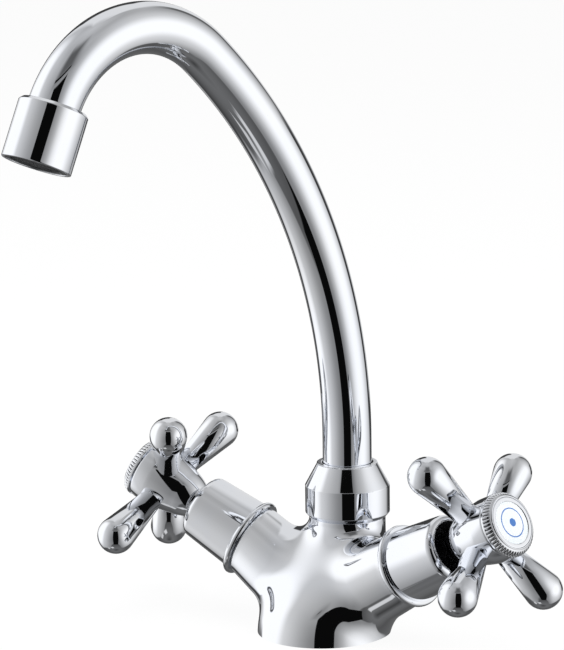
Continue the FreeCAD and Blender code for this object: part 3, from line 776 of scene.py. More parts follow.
# Near-black steel: painted shade on the circlip in the recess.
STEEL_IN_PAINTED_SHADE = new_finish(
    "steel_painted_shade", NOT_METAL, SHADE_BLACK_PALE, (0.035, 0.034, 0.033), patch=2.0,
    haze=Haze(0.5, 0.8, patch=2.0), heights=[waves(0.5, 0.01)])
CERAMIC = new_finish(
    "lapped_ceramic", NOT_METAL, (0.90, 0.88, 0.84), (0.86, 0.84, 0.80), patch=5.0,
    haze=Haze(0.10, 0.24, patch=3.0), heights=[waves(0.5, 0.0015)])
print("hidden finishes:", ", ".join(BRASS), "brass, steel and ceramic")

# %% [markdown]
# **Rubber, plastics and enamel.** Rubber and moulded plastic show a fine grain from the
# mould. The outlet's insert is dark grey, because wet plastic with air holes looks dark from
# outside. The index discs are glossy enamel with a plain dot and a thin ring, red for hot
# and blue for cold. The mark could be separate inlaid pieces, but a print has no thickness,
# so it is a colour that depends only on the distance from the disc's middle.

# %% Rubber, plastics and enamel
RUBBER = new_finish(
    "moulded_rubber", NOT_METAL, (0.022, 0.022, 0.023), (0.034, 0.033, 0.032), patch=6.0,
    haze=Haze(0.42, 0.62, patch=2.0), heights=[waves(0.35, 0.012)])
GLIDE_PLASTIC = new_finish(
    "white_acetal", NOT_METAL, (0.90, 0.90, 0.87), (0.85, 0.85, 0.82), patch=7.0,
    haze=Haze(0.26, 0.42, patch=3.0), heights=[waves(0.3, 0.004)])
INSERT_PLASTIC = new_finish(
    "insert_plastic", NOT_METAL, (0.10, 0.105, 0.11), (0.16, 0.165, 0.17), patch=5.0,
    haze=Haze(0.22, 0.40, patch=2.0), heights=[waves(0.4, 0.005)])
INK = {"hot": (0.62, 0.05, 0.04), "cold": (0.03, 0.16, 0.50)}
ENAMEL = (0.80, 0.86, 0.90)
ENAMEL_WARM = (0.84, 0.875, 0.90)
DOT_R = 1.5
RING_R = 5.2
RING_HALF_W = 0.22
PRINT_EDGE = 0.06
GLAZE = 0.6
GLAZE_ROUGHNESS = 0.03


def enamel(side, matrix):
    """Glossy enamel with a printed dot and ring about the valve's axis."""
    finish = new_finish(
        side + "_enamel", NOT_METAL, ENAMEL, ENAMEL_WARM, patch=6.0,
        haze=Haze(0.05, 0.12, patch=4.0), heights=[waves(5.0, 0.004)])
    tree = finish.node_tree
    shader = tree.nodes["Principled BSDF"]
    shader.inputs["Coat Weight"].default_value = GLAZE
    shader.inputs["Coat Roughness"].default_value = GLAZE_ROUGHNESS
    out = along_and_out(tree, *axis_of(matrix))[1]
    dot = between(tree, out, DOT_R + PRINT_EDGE, DOT_R - PRINT_EDGE)
    from_ring = calc(tree, "ABSOLUTE", calc(tree, "SUBTRACT", out, RING_R))
    ring = between(tree, from_ring, RING_HALF_W + PRINT_EDGE, RING_HALF_W - PRINT_EDGE)
    plain = shader.inputs["Base Color"].links[0].from_socket
    printed = mixed(tree, calc(tree, "MAXIMUM", dot, ring), plain, (*INK[side], 1))
    tree.links.new(printed, shader.inputs["Base Color"])
    return finish


ENAMELS = {side: enamel(side, matrix) for side, matrix in VALVES.items()}
print("all finishes:", len(bpy.data.materials) - 1)

# %% [markdown]
# ## Making a piece
# Every piece is a mesh from a list of points and faces. One helper turns them into an
# object, gives it its finish and says what it rides on and which plain solid it stands
# for. A second helper gives some of its faces another finish, such as the unplated inside
# of a sleeve. A third one makes a single piece of several parts that aren't in one lump.

# %% Piece helpers


def piece(name, points, faces, body, finish, replaced):
    """A finished piece from millimetre points, riding on a body in place of a node."""
    mesh = bpy.data.meshes.new(name)
    mesh.from_pydata([tuple(point * MM) for point in np.asarray(points)], [], faces)
    mesh.validate()
    mesh.polygons.foreach_set("use_smooth", [True] * len(mesh.polygons))
    mesh.materials.append(finish)
    mesh.update()
    made = bpy.data.objects.new(name, mesh)
    bpy.context.scene.collection.objects.link(made)
    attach(made, body)
    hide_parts(replaced)
    print("%-18s %6d faces" % (name, len(mesh.polygons)))
    return made


def repaint(made, finish, chosen):
    """Gives a second finish to the faces whose middles are chosen."""
    mesh = made.data
    mesh.materials.append(finish)
    middles = np.empty(len(mesh.polygons) * 3)
    mesh.polygons.foreach_get("center", middles)
    picked = chosen(middles.reshape(-1, 3) / MM)
    index = np.empty(len(mesh.polygons), np.int32)
    mesh.polygons.foreach_get("material_index", index)
    index[picked] = len(mesh.materials) - 1
    mesh.polygons.foreach_set("material_index", index)
    print("%-18s %6d faces repainted" % ("", picked.sum()))


def joined(parts):
    """Several (points, faces) pairs as one."""
    points = []
    faces = []
    for part_points, part_faces in parts:
        shift = len(points)
        points.extend(part_points)
        faces.extend(tuple(corner + shift for corner in face) for face in part_faces)
    return np.array(points), faces


# %% [markdown]
# ## Shapes turned on a lathe
# Most pieces of a tap come off a lathe, so one helper spins an outline round an axis. What
# makes such a piece look machined is its edges. A bevel modifier could round them, but it
# rounds all edges alike. Here each corner of the outline has its own radius, and a short
# extra step beside it, so that smooth shading stays on the radius and the faces beside it
# stay true.
#
# So every corner of an outline below is three numbers: how far out it is, how high, and
# how round. An edge that is only deburred is the same everywhere, and a corner with no
# radius is a point on a curve.

# %% Lathe
DEBURRED = 0.1
ROUND_STEPS = 6
STEP_BESIDE = 0.22
STEP_SHARE = 0.3
LATHE_SIDES = 128
ON_AXIS = 1e-6


def rounded_outline(corners, closed):
    """Turns (radius, height, edge radius) corners into an outline with rounded edges."""
    count = len(corners)
    outline = []
    for index, (radius, height, edge) in enumerate(corners):
        here = np.array((radius, height), float)
        is_end = not closed and index in (0, count - 1)
        if is_end or edge <= 0:
            outline.append(here)
            continue
        before = np.array(corners[index - 1][:2], float) - here
        after = np.array(corners[(index + 1) % count][:2], float) - here
        to_before = before / np.linalg.norm(before)
        to_after = after / np.linalg.norm(after)
        half = math.acos(max(-1, min(1, float(to_before @ to_after)))) / 2
        run = edge / math.tan(half)
        middle = to_before + to_after
        centre = here + middle / np.linalg.norm(middle) * edge / math.sin(half)
        start = here + to_before * run
        finish = here + to_after * run
        step_before = min(STEP_BESIDE, STEP_SHARE * np.linalg.norm(before))
        step_after = min(STEP_BESIDE, STEP_SHARE * np.linalg.norm(after))
        outline.append(start + to_before * step_before)
        sweep = math.pi - 2 * half
        for step in range(ROUND_STEPS + 1):
            share = step / ROUND_STEPS
            first = (start - centre) * math.sin((1 - share) * sweep) / math.sin(sweep)
            last = (finish - centre) * math.sin(share * sweep) / math.sin(sweep)
            outline.append(centre + first + last)
        outline.append(finish + to_after * step_after)
    return np.array(outline)


def spun(outline, closed, sides=LATHE_SIDES):
    """Points and faces of an outline of (radius, height) points spun round local Z."""
    angles = np.arange(sides) * 2 * math.pi / sides
    points = []
    levels = []
    for radius, height in outline:
        first = len(points)
        if radius < ON_AXIS:
            levels.append([first])
            points.append((0.0, 0.0, height))
        else:
            levels.append(list(range(first, first + sides)))
            x, y = radius * np.cos(angles), radius * np.sin(angles)
            points.extend(zip(x, y, [height] * sides))
    faces = []
    pairs = list(zip(levels, levels[1:]))
    if closed:
        pairs.append((levels[-1], levels[0]))
    for low, high in pairs:
        for side in range(sides):
            following = (side + 1) % sides
            if len(low) == 1:
                faces.append((low[0], high[following], high[side]))
            elif len(high) == 1:
                faces.append((low[side], low[following], high[0]))
            else:
                faces.append((low[side], low[following], high[following], high[side]))
    return np.array(points), faces


def turned(corners, closed=True, sides=LATHE_SIDES):
    return spun(rounded_outline(corners, closed), closed, sides)


print("a deburred edge is", DEBURRED, "mm round, in", ROUND_STEPS, "steps")

# %% [markdown]
# ## Body casting
# The casting has no sharp corners outside: foot, neck and branches flow into each other, and
# chrome shows every wrong kink. Bevelled booleans would leave creases where several fillets
# meet. A distance field is simpler here: each form says how far away a point is, and a
# rounded minimum of those distances melts the forms together.

# %% Rounded minimum


def smooth_least(a, b, blend):
    """The smaller of two distances, rounded where they are within the blend."""
    share = np.clip(0.5 + 0.5 * (b - a) / blend, 0, 1)
    return b + (a - b) * share - blend * share * (1 - share)


def smooth_most(a, b, blend):
    return -smooth_least(-a, -b, blend)


print("a point 1 mm from two forms lies %.1f mm inside their melt" % -smooth_least(1, 1, 6))

# %% [markdown]
# Foot, shoulder and neck are one bell. It is a stack of circles, and a share that runs from 0
# at the foot to 1 at the neck says how wide each circle is and how far back it stands. The
# share rises softly at both ends, so the upright wall bends into the shoulder without a
# line.

# %% Foot, shoulder and neck as one bell
FOOT_R = 24.1
WALL_TOP = 4.3
WALL_SOFT = 0.35
NECK_R = 14.0
NECK_FOOT = 38.5
SHOULDER_CURVE = 0.86
NEAR_AXIS = 0.1


def bell_field(points):
    """A stack of circles that narrow from the foot to the neck and lean back to it."""
    x, y, z = points.T
    height = NECK_FOOT - WALL_TOP
    t = np.minimum(smooth_most((z - WALL_TOP) / height, 0, WALL_SOFT), 1)
    share = (1 - SHOULDER_CURVE) * t + SHOULDER_CURVE * t * t * (3 - 2 * t)
    steep = np.where(
        (t > 0) & (t < 1),
        ((1 - SHOULDER_CURVE) + SHOULDER_CURVE * 6 * t * (1 - t)) / height,
        0,
    )
    radius = FOOT_R + (NECK_R - FOOT_R) * share
    back = y - SWIVEL.y * share
    reach = np.hypot(x, back)
    lean = SWIVEL.y * steep * back / np.maximum(reach, NEAR_AXIS)
    slope = (FOOT_R - NECK_R) * steep - lean
    return (reach - radius) / np.sqrt(1 + slope ** 2)


print("the neck stands %.1f mm behind the foot's middle" % SWIVEL.y)

# %% [markdown]
# A branch is a cone round its valve. It is thickest at its root, where it also sags and comes
# forward a little, so that it runs down into the foot in one sweep. The top of the cone
# stays nearly parallel to the valve.

# %% Branches
BRANCH_LENGTH = 39.6
BRANCH_MOUTH_R = 13.6
BRANCH_MOUTH_EDGE = 0.8
BRANCH_MOUTH_SOFT = 0.1
BRANCH_ROOT_R = 15.3
BRANCH_ROOT_DROP = 1.9
BRANCH_ROOT_FRONT = 3.8
BRANCH_ROOT_S = 14.3
BRANCH_ROOT_SOFT = 0.4
BRANCH_INNER_END = 4.1
BRANCH_INNER_EDGE = 4.0


def branch_field(points, matrix):
    """A leaning cone, thickest at its root, with its top along the valve axis."""
    u, w, s = moved(points, matrix.inverted()).T
    forward = -1 if matrix[0][2] > 0 else 1
    share = (BRANCH_LENGTH - s) / (BRANCH_LENGTH - BRANCH_ROOT_S)
    share = smooth_least(share, 1.0, BRANCH_ROOT_SOFT)
    share = smooth_most(share, 0.0, BRANCH_MOUTH_SOFT)
    radius = BRANCH_MOUTH_R + (BRANCH_ROOT_R - BRANCH_MOUTH_R) * share
    u = u - forward * BRANCH_ROOT_FRONT * share
    w = w + BRANCH_ROOT_DROP * share
    branch = np.hypot(u, w) - radius
    branch = smooth_most(branch, s - BRANCH_LENGTH, BRANCH_MOUTH_EDGE)
    return smooth_most(branch, -s - BRANCH_INNER_END, BRANCH_INNER_EDGE)


print("a branch ends %.1f mm along its valve's axis" % BRANCH_LENGTH)

# %% [markdown]
# The valley between neck and branches is filled more than the foot's corners are, because
# the polishing wheel has to reach in there, so the melt grows with height. It also grows
# towards the rear, where the wall under a branch leans out more gently. The form runs
# a little below the deck and is cut flat later, so that the foot gets a crisp edge.

# %% All of it melted together
NECK_TOP = 40.3
NECK_EDGE = 0.6
BRANCH_MELT = 9.0
LOW_MELT = 6.2
REAR_MELT = 3.5
REAR_REACH = 14.0
HIGH_MELT = 10.0
MELT_FROM = 22.0
MELT_TO = 36.0
BELOW_FOOT = 1.0


def body_field(points):
    """Distance-like field of the casting: negative inside, zero on its skin."""
    z = points[:, 2]
    rise = np.clip((z - MELT_FROM) / (MELT_TO - MELT_FROM), 0, 1)
    rear = np.clip(points[:, 1] / REAR_REACH, 0, 1)
    low_melt = LOW_MELT + REAR_MELT * rear * rear * (3 - 2 * rear)
    melt = low_melt + (HIGH_MELT - low_melt) * rise * rise * (3 - 2 * rise)
    bell = smooth_most(bell_field(points), z - NECK_TOP, NECK_EDGE)
    branches = [branch_field(points, matrix) for matrix in VALVES.values()]
    solid = smooth_least(branches[0], branches[1], BRANCH_MELT)
    solid = smooth_least(solid, bell, melt)
    return np.maximum(solid, -z - BELOW_FOOT)


def field_slope(field, points, step=0.02):
    """Which way the field rises, and how fast."""
    slope = np.empty_like(points)
    for axis in range(3):
        shift = np.zeros(3)
        shift[axis] = step
        slope[:, axis] = (field(points + shift) - field(points - shift)) / (2 * step)
    return slope


heart = np.array([[0.0, 0.0, 20.0]])
print("20 mm up, the middle is %.1f mm inside the metal" % -body_field(heart)[0])

# %% [markdown]
# The field becomes a mesh by surface nets. Each small cube that the skin passes through gets
# one point, at the middle of where its edges cross the skin, and the points of four cubes
# round a crossed edge make a quad. The points then slide along the slope of the field until
# they lie on the skin. Marching cubes would do too, but it makes slivers that chrome shows.

# %% Skin of a field
SKIN_GRID = 0.6
SKIN_BOX = ((-46, -27, -1.9), (46, 33, 42))
SLIDES = 4
LEAST_STEEPNESS = 0.05


def crossings(value, places, grid):
    """Sum and number of edge crossings for each cube of the grid."""
    cubes = [count - 1 for count in value.shape]
    total = np.zeros(cubes + [3])
    hits = np.zeros(cubes)

    def part(offset):
        return tuple(slice(o, o + n) for o, n in zip(offset, cubes))

    for axis in range(3):
        others = [i for i in range(3) if i != axis]
        for a, b in ((0, 0), (0, 1), (1, 0), (1, 1)):
            start = [0, 0, 0]
            start[others[0]] = a
            start[others[1]] = b
            end = list(start)
            end[axis] = 1
            v0 = value[part(start)]
            v1 = value[part(end)]
            cross = (v0 < 0) != (v1 < 0)
            spot = places[part(start)].copy()
            spot[..., axis] += np.where(cross, v0 / np.where(cross, v0 - v1, 1), 0) * grid
            total[cross] += spot[cross]
            hits[cross] += 1
    return total, hits


def quads_across(value, number, axis):
    """The quads round each grid edge along one axis that crosses the skin."""
    u, v = [i for i in range(3) if i != axis]
    before = [slice(None)] * 3
    after = [slice(None)] * 3
    before[axis] = slice(0, -1)
    after[axis] = slice(1, None)
    inside = value[tuple(before)] < 0
    where = np.argwhere(inside != (value[tuple(after)] < 0))
    keep = (where[:, u] > 0) & (where[:, v] > 0)
    keep &= (where[:, u] < number.shape[u]) & (where[:, v] < number.shape[v])
    where = where[keep]
    quads = []
    for du, dv in ((0, 0), (1, 0), (1, 1), (0, 1)):
        cube = where.copy()
        cube[:, u] -= du
        cube[:, v] -= dv
        quads.append(number[tuple(cube.T)])
    quads = np.stack(quads, 1)
    leaving = inside[tuple(where.T)]
    flip = leaving if axis == 1 else ~leaving
    quads[flip] = quads[flip][:, ::-1]
    return quads.tolist()


def skin_of(field, low, high, grid):
    """A quad mesh on the zero level of a field."""
    counts = [int(math.ceil((b - a) / grid)) + 1 for a, b in zip(low, high)]
    axes = [a + grid * np.arange(count) for a, count in zip(low, counts)]
    places = np.stack(np.meshgrid(*axes, indexing="ij"), -1)
    value = field(places.reshape(-1, 3)).reshape(places.shape[:3])
    total, hits = crossings(value, places, grid)
    used = hits > 0
    number = -np.ones(hits.shape, int)
    number[used] = np.arange(used.sum())
    points = total[used] / hits[used][:, None]
    faces = [quad for axis in range(3) for quad in quads_across(value, number, axis)]
    for _ in range(SLIDES):
        slope = field_slope(field, points)
        steep = np.maximum((slope ** 2).sum(1), LEAST_STEEPNESS)
        points = points - slope * (field(points) / steep)[:, None]
    return points, faces


skin_points, skin_faces = skin_of(body_field, *SKIN_BOX, SKIN_GRID)
print("skin of the casting:", len(skin_points), "points")

# %% [markdown]
# The casting is then machined: the bores for both valves, the threaded spigot and the socket
# of the spout, the flat underside, and in it the two inlets, the stud hole and the groove of
# the seal. In a real shop these are cuts with sharp edges, so here they are booleans on the
# finished skin, with tools spun on the same lathe helper.
#
# A cut across a fine skin leaves slivers, and a sliver makes an edge that too many faces
# share. Points that lie closer together than the weld are joined once the cuts are done.

# %% Cutting tools for the body
PAST = 1.5
SLAB_R = FOOT_R * 2
SLAB_H = PAST * 3
SPIGOT_R = 12.7
SPIGOT_TOP = 49.5
SPIGOT_SUNK = 8
SOCKET_R = 10.3
SOCKET_FLOOR = 21.0
PORT_R = 3.4
PORT_FROM = 8.0
SEAT_AT = 15.5
CHAMBER_R = 9.3
THREAD_FROM = 29.0
THREAD_R = 10.5
INLET_X = 9.0
INLET_Y = 7.7
INLET_R = 4.5
INLET_DEPTH = 13.0
STUD_Y = -10.5
STUD_R = 3.4
STUD_DEPTH = 12.0
GROOVE_IN_R = 20.35
GROOVE_OUT_R = 22.65
GROOVE_DEPTH = 2.02
TOOL_SIDES = 96


def rod(radius, low, high, place=(0, 0)):
    """A straight tool that stands upright."""
    outline = [(0, low), (radius, low), (radius, high), (0, high)]
    points, faces = spun(outline, False, TOOL_SIDES)
    return points + np.array((*place, 0)), faces


def valve_cutter(matrix):
    """The port, the chamber and the thread of a valve as one stepped tool."""
    outline = [
        (0, PORT_FROM),
        (PORT_R, PORT_FROM),
        (PORT_R, SEAT_AT),
        (CHAMBER_R, SEAT_AT),
        (CHAMBER_R, THREAD_FROM),
        (THREAD_R, THREAD_FROM),
        (THREAD_R, BRANCH_LENGTH + PAST),
        (0, BRANCH_LENGTH + PAST),
    ]
    points, faces = spun(outline, False, TOOL_SIDES)
    return moved(points, matrix), faces


def groove_cutter():
    outline = [(GROOVE_IN_R, -PAST), (GROOVE_OUT_R, -PAST),
               (GROOVE_OUT_R, GROOVE_DEPTH), (GROOVE_IN_R, GROOVE_DEPTH)]
    return spun(outline, True, TOOL_SIDES)


neck_place = (SWIVEL.x, SWIVEL.y)
body_tools = [
    ("DIFFERENCE", rod(SLAB_R, -SLAB_H, 0)),
    ("UNION", rod(SPIGOT_R, NECK_TOP - SPIGOT_SUNK, SPIGOT_TOP, neck_place)),
    ("DIFFERENCE", rod(SOCKET_R, SOCKET_FLOOR, SPIGOT_TOP + PAST, neck_place)),
    ("DIFFERENCE", valve_cutter(VALVES["hot"])),
    ("DIFFERENCE", valve_cutter(VALVES["cold"])),
    ("DIFFERENCE", rod(INLET_R, -PAST, INLET_DEPTH, (-INLET_X, INLET_Y))),
    ("DIFFERENCE", rod(INLET_R, -PAST, INLET_DEPTH, (INLET_X, INLET_Y))),
    ("DIFFERENCE", rod(STUD_R, -PAST, STUD_DEPTH, (0, STUD_Y))),
    ("DIFFERENCE", groove_cutter()),
]
print("steps on the body:", len(body_tools))

# %% Machine the casting
WELD = 0.003


def loose_mesh(name, points, faces):
    """A mesh object in millimetres, for boolean work only."""
    mesh = bpy.data.meshes.new(name)
    mesh.from_pydata([tuple(point) for point in points], [], faces)
    made = bpy.data.objects.new(name, mesh)
    bpy.context.scene.collection.objects.link(made)
    return made


def machined(points, faces, tools):
    """Points and faces after each tool has been added or cut away, and slivers are gone."""
    blank = loose_mesh("blank", points, faces)
    for operation, (tool_points, tool_faces) in tools:
        tool = loose_mesh("tool", tool_points, tool_faces)
        step = blank.modifiers.new("step", "BOOLEAN")
        step.operation = operation
        step.solver = "MANIFOLD"
        step.object = tool
        graph = bpy.context.evaluated_depsgraph_get()
        result = bpy.data.meshes.new_from_object(blank.evaluated_get(graph))
        blank.modifiers.clear()
        blank.data = result
        bpy.data.objects.remove(tool)
    mesh = blank.data
    welded = bmesh.new()
    welded.from_mesh(mesh)
    bmesh.ops.remove_doubles(welded, verts=welded.verts, dist=WELD)
    bmesh.ops.dissolve_degenerate(welded, edges=welded.edges, dist=WELD)
    welded.to_mesh(mesh)
    welded.free()
    new_points = np.empty(len(mesh.vertices) * 3)
    mesh.vertices.foreach_get("co", new_points)
    new_faces = [tuple(face.vertices) for face in mesh.polygons]
    bpy.data.objects.remove(blank)
    return new_points.reshape(-1, 3), new_faces


body_points, body_faces = machined(skin_points, skin_faces, body_tools)
cast_body = piece("cast_body", body_points, body_faces, "tap_body", CAST_CHROME,
                  "body_casting")

# %% [markdown]
# Two things finish the body. The corners of its faces take their shading from the field
# itself wherever they lie on the skin, which is smoother than any average of small faces,
# and the cut edges stay crisp. The bores and the underside are bare brass, because plating
# stops where the sealing faces are machined.

# %% Shading and bare faces of the body
SHARP_TURN = math.radians(35)
ON_SKIN = 0.02
OFF_SKIN = 0.08
AGREEMENT = 0.8
NO_SLOPE = 1e-6


def shade_by_field(mesh, field):
    """Corner normals from the field on the skin, and by face angle elsewhere."""
    faces = len(mesh.polygons)
    corners = len(mesh.loops)
    face_normals = np.empty(faces * 3)
    mesh.polygons.foreach_get("normal", face_normals)
    face_normals = face_normals.reshape(-1, 3)
    mesh.set_sharp_from_angle(angle=SHARP_TURN)
    plain = np.empty(corners * 3, np.float32)
    mesh.corner_normals.foreach_get("vector", plain)
    plain = plain.reshape(-1, 3)
    points = np.empty(len(mesh.vertices) * 3)
    mesh.vertices.foreach_get("co", points)
    points = points.reshape(-1, 3) / MM
    slope = field_slope(field, points)
    slope /= np.maximum(np.linalg.norm(slope, axis=1), NO_SLOPE)[:, None]
    corner_point = np.empty(corners, np.int32)
    mesh.loops.foreach_get("vertex_index", corner_point)
    face_size = np.empty(faces, np.int32)
    mesh.polygons.foreach_get("loop_total", face_size)
    corner_face = np.repeat(np.arange(faces), face_size)
    near = np.abs(field(points)) < ON_SKIN
    agrees = (slope[corner_point] * face_normals[corner_face]).sum(1) > AGREEMENT
    taken = near[corner_point] & agrees
    normals = np.where(taken[:, None], slope[corner_point], plain)
    mesh.normals_split_custom_set([tuple(n) for n in normals])
    return taken.mean()


def is_bare(middles):
    return np.abs(body_field(middles)) > OFF_SKIN


shaded = shade_by_field(cast_body.data, body_field)
print("corners shaded by the field: %.0f %%" % (100 * shaded))
repaint(cast_body, BRASS["neck"], is_bare)

# %% [markdown]
# ## Bead rings and sleeves
# A round bead hides the joint between the branch and the sleeve. The sleeve is a thin turned
# shell over the valve. Its outer end rolls in to a mouth, and the recess inside the mouth is
# painted near black: painted shade. Both are lathe outlines: the bead is an arc of points,
# and the roll of the sleeve is one large corner radius.

# %% Bead rings
BEAD_BORE_R = 11.6
BEAD_LIP_R = 14.62
BEAD_LIP_EDGE = 0.05
BEAD_MIDDLE_R = 13.9
BEAD_R = 1.4
BEAD_SWEEP = 59
BEAD_STEPS = 12

for side, matrix in VALVES.items():
    low, high = reach_along(side + "_trim_ring", matrix)
    outline = [(BEAD_BORE_R, low, DEBURRED), (BEAD_LIP_R, low, BEAD_LIP_EDGE)]
    for step in range(1, BEAD_STEPS):
        angle = math.radians(BEAD_SWEEP * (2 * step / BEAD_STEPS - 1))
        out = BEAD_MIDDLE_R + BEAD_R * math.cos(angle)
        outline.append((out, (low + high) / 2 + BEAD_R * math.sin(angle), 0))
    outline += [(BEAD_LIP_R, high, BEAD_LIP_EDGE), (BEAD_BORE_R, high, DEBURRED)]
    points, faces = turned(outline)
    piece(side + "_bead_ring", moved(points, matrix), faces, "tap_body",
          TURNED_CHROME[side], side + "_trim_ring")

# %% Sleeves
SLEEVE_BORE_R = 11.9
SLEEVE_FOOT_R = 13.6
SLEEVE_END_R = 12.3
SLEEVE_ROLL = 2.5
MOUTH_R = 9.7
MOUTH_EDGE = 0.3
CHROME_AT_MOUTH = 0.35
WEB_BORE_R = 7.4
WEB = 2.0
INNER_R = 10.6
BORE_MARGIN = 0.05

for side, matrix in VALVES.items():
    low, high = reach_along(side + "_bonnet_sleeve", matrix)
    recess_floor = high - RECESS_DEPTH
    points, faces = turned([
        (SLEEVE_BORE_R, low, DEBURRED),
        (SLEEVE_FOOT_R, low, DEBURRED),
        (SLEEVE_END_R, high, SLEEVE_ROLL),
        (MOUTH_R, high, MOUTH_EDGE),
        (MOUTH_R, recess_floor, MOUTH_EDGE),
        (WEB_BORE_R, recess_floor, DEBURRED),
        (WEB_BORE_R, recess_floor - WEB, DEBURRED),
        (INNER_R, recess_floor - WEB, MOUTH_EDGE),
    ])
    sleeve = piece(side + "_sleeve", moved(points, matrix), faces, "tap_body",
                   TURNED_CHROME[side], side + "_bonnet_sleeve")

    def is_inside(middles):
        heights, radii = heights_and_radii(middles, matrix)
        return (radii < MOUTH_R + BORE_MARGIN) & (heights < high - CHROME_AT_MOUTH)

    # The recess inside the mouth gets the near-black finish: painted shade.
    repaint(sleeve, PAINTED_SHADE_BLACK, is_inside)

# %% [markdown]
# ## Spout nut
# A bell-shaped nut with no flats, done up by hand. It holds the spout's foot down in its
# socket. Its cone and its wall meet in a fine corner, so the black stripe of the room runs
# over it almost without a break.

# %% Spout nut
NUT_THREAD_R = 12.75
NUT_FOOT_R = 14.3
NUT_FOOT_H = 1.4
NUT_R = 15.6
NUT_WALL_TOP = 51.8
NUT_LIP_R = 11.2
NUT_LIP_H = 0.5
NUT_BORE_R = 9.35
NUT_CROWN_H = 5.0
NUT_HEAD_R = 12.0
NUT_HEAD_SLOPE = 1

nut_low, nut_high = reach_along("spout_nut", NECK_FRAME)
points, faces = turned([
    (NUT_THREAD_R, nut_low, DEBURRED),
    (NUT_FOOT_R, nut_low, 0.3),
    (NUT_R, nut_low + NUT_FOOT_H, 0.5),
    (NUT_R, NUT_WALL_TOP, 0.4),
    (NUT_LIP_R, nut_high - NUT_LIP_H, 0.25),
    (NUT_LIP_R, nut_high, 0.2),
    (NUT_BORE_R, nut_high, 0.2),
    (NUT_BORE_R, nut_high - NUT_CROWN_H, DEBURRED),
    (NUT_HEAD_R, nut_high - NUT_CROWN_H - NUT_HEAD_SLOPE, DEBURRED),
])
piece("bell_nut", moved(points, NECK_FRAME), faces, "tap_body",
      TURNED_CHROME["neck"], "spout_nut")

# %% [markdown]
# ## Spout
# The spout is one drawn tube: upright in the nut, then a long gentle arc, then a tight arch
# over to the outlet. A curve object with a bevel would do, but its cuts slip at the joins.
# Here rings of points stand square to the line at even steps, and the lean of each ring
# follows the two arcs exactly, so the long reflections run true.

# %% Line of the spout
SPOUT_SWING = math.radians(12.7)
UPRIGHT_TOP = 69.1
LONG_ARC_R = 196.5
LONG_ARC = math.radians(48.1)
ARCH_R = 40.6
ARCH = math.radians(108.8)
STATION_GAP = 1.5
UP = Vector((0, 0, 1))
HEADING = Vector((-math.sin(SPOUT_SWING), -math.cos(SPOUT_SWING), 0))


def arc_stations(start, radius, sweep):
    """Stations along an arc, after its start: reach, height and lean from the upright."""
    reach, height, lean = start
    steps = int(radius * sweep / STATION_GAP)
    stations = []
    for step in range(1, steps + 1):
        now = lean + sweep * step / steps
        stations.append((
            reach + radius * (math.cos(lean) - math.cos(now)),
            height + radius * (math.sin(now) - math.sin(lean)),
            now,
        ))
    return stations


def spout_stations():
    bottom = reach_along("spout_tube", NECK_FRAME)[0]
    steps = int((UPRIGHT_TOP - bottom) / STATION_GAP)
    rise = (UPRIGHT_TOP - bottom) / steps
    stations = [(0, bottom + rise * step, 0) for step in range(steps + 1)]
    stations += arc_stations(stations[-1], LONG_ARC_R, LONG_ARC)
    stations += arc_stations(stations[-1], ARCH_R, ARCH)
    return stations


def station_frame(station):
    """Local Z along the tube, local X across the spout's plane."""
    reach, height, lean = station
    along = HEADING * math.sin(lean) + UP * math.cos(lean)
    across = HEADING.cross(UP).normalized()
    turn = Matrix((across, along.cross(across), along)).transposed().to_4x4()
    place = Vector((SWIVEL.x, SWIVEL.y, height)) + HEADING * reach
    return Matrix.Translation(place) @ turn


stations = spout_stations()
line_length = (UPRIGHT_TOP - stations[0][1]) + LONG_ARC_R * LONG_ARC + ARCH_R * ARCH
print("the tube's line is %.0f mm long, with %d stations" % (line_length, len(stations)))

# %% Tube
TUBE_R = 9.0
TUBE_BORE_R = 7.6
TUBE_SIDES = 96


def tube_along(stations, radius, bore):
    """Outer rings up the line and inner rings back down it, joined at both ends."""
    angles = np.arange(TUBE_SIDES) * 2 * math.pi / TUBE_SIDES
    ring = np.stack([np.cos(angles), np.sin(angles), 0 * angles], 1)
    levels = [moved(ring * radius, station_frame(station)) for station in stations]
    levels += [moved(ring * bore, station_frame(station)) for station in reversed(stations)]
    faces = []
    for level in range(len(levels)):
        after = (level + 1) % len(levels)
        for side in range(TUBE_SIDES):
            following = (side + 1) % TUBE_SIDES
            faces.append((
                level * TUBE_SIDES + side,
                level * TUBE_SIDES + following,
                after * TUBE_SIDES + following,
                after * TUBE_SIDES + side,
            ))
    return np.concatenate(levels), faces


points, faces = tube_along(stations, TUBE_R, TUBE_BORE_R)
piece("bent_tube", points, faces, "spout", TUBE_CHROME, "spout_tube")

# %% [markdown]
# ## Outlet
# A short turned cup is brazed on the tube's end and holds the insert that mixes air into the
# water. Its upper edge is rounded and its lower edge is nearly sharp, which gives the thin
# bright line round the dark insert. Its outside, its top and its lip are plated, and its
# inside is bare brass.

# %% Outlet cup
CUP_R = 12.1
CUP_TOP_EDGE = 1.1
CUP_WALL = 1.25
CUP_SOCKET_R = 9.05
CUP_FLOOR = 5.1
PLATED_TOP = 0.5
PLATED_LIP = 0.9

outlet = station_frame(stations[-1])
low, high = reach_along("outlet_shell", outlet)
points, faces = turned([
    (CUP_SOCKET_R, low, DEBURRED),
    (CUP_R - CUP_TOP_EDGE, low, 0.3),
    (CUP_R, low + CUP_TOP_EDGE, 0.5),
    (CUP_R, high, 0.35),
    (CUP_R - CUP_WALL, high, 0.25),
    (CUP_R - CUP_WALL, low + CUP_FLOOR, DEBURRED),
    (CUP_SOCKET_R, low + CUP_FLOOR, DEBURRED),
])
TURNED_CHROME["outlet"] = turned_chrome("outlet_turned_chrome", outlet)
cup = piece("outlet_cup", moved(points, outlet), faces, "spout",
            TURNED_CHROME["outlet"], "outlet_shell")


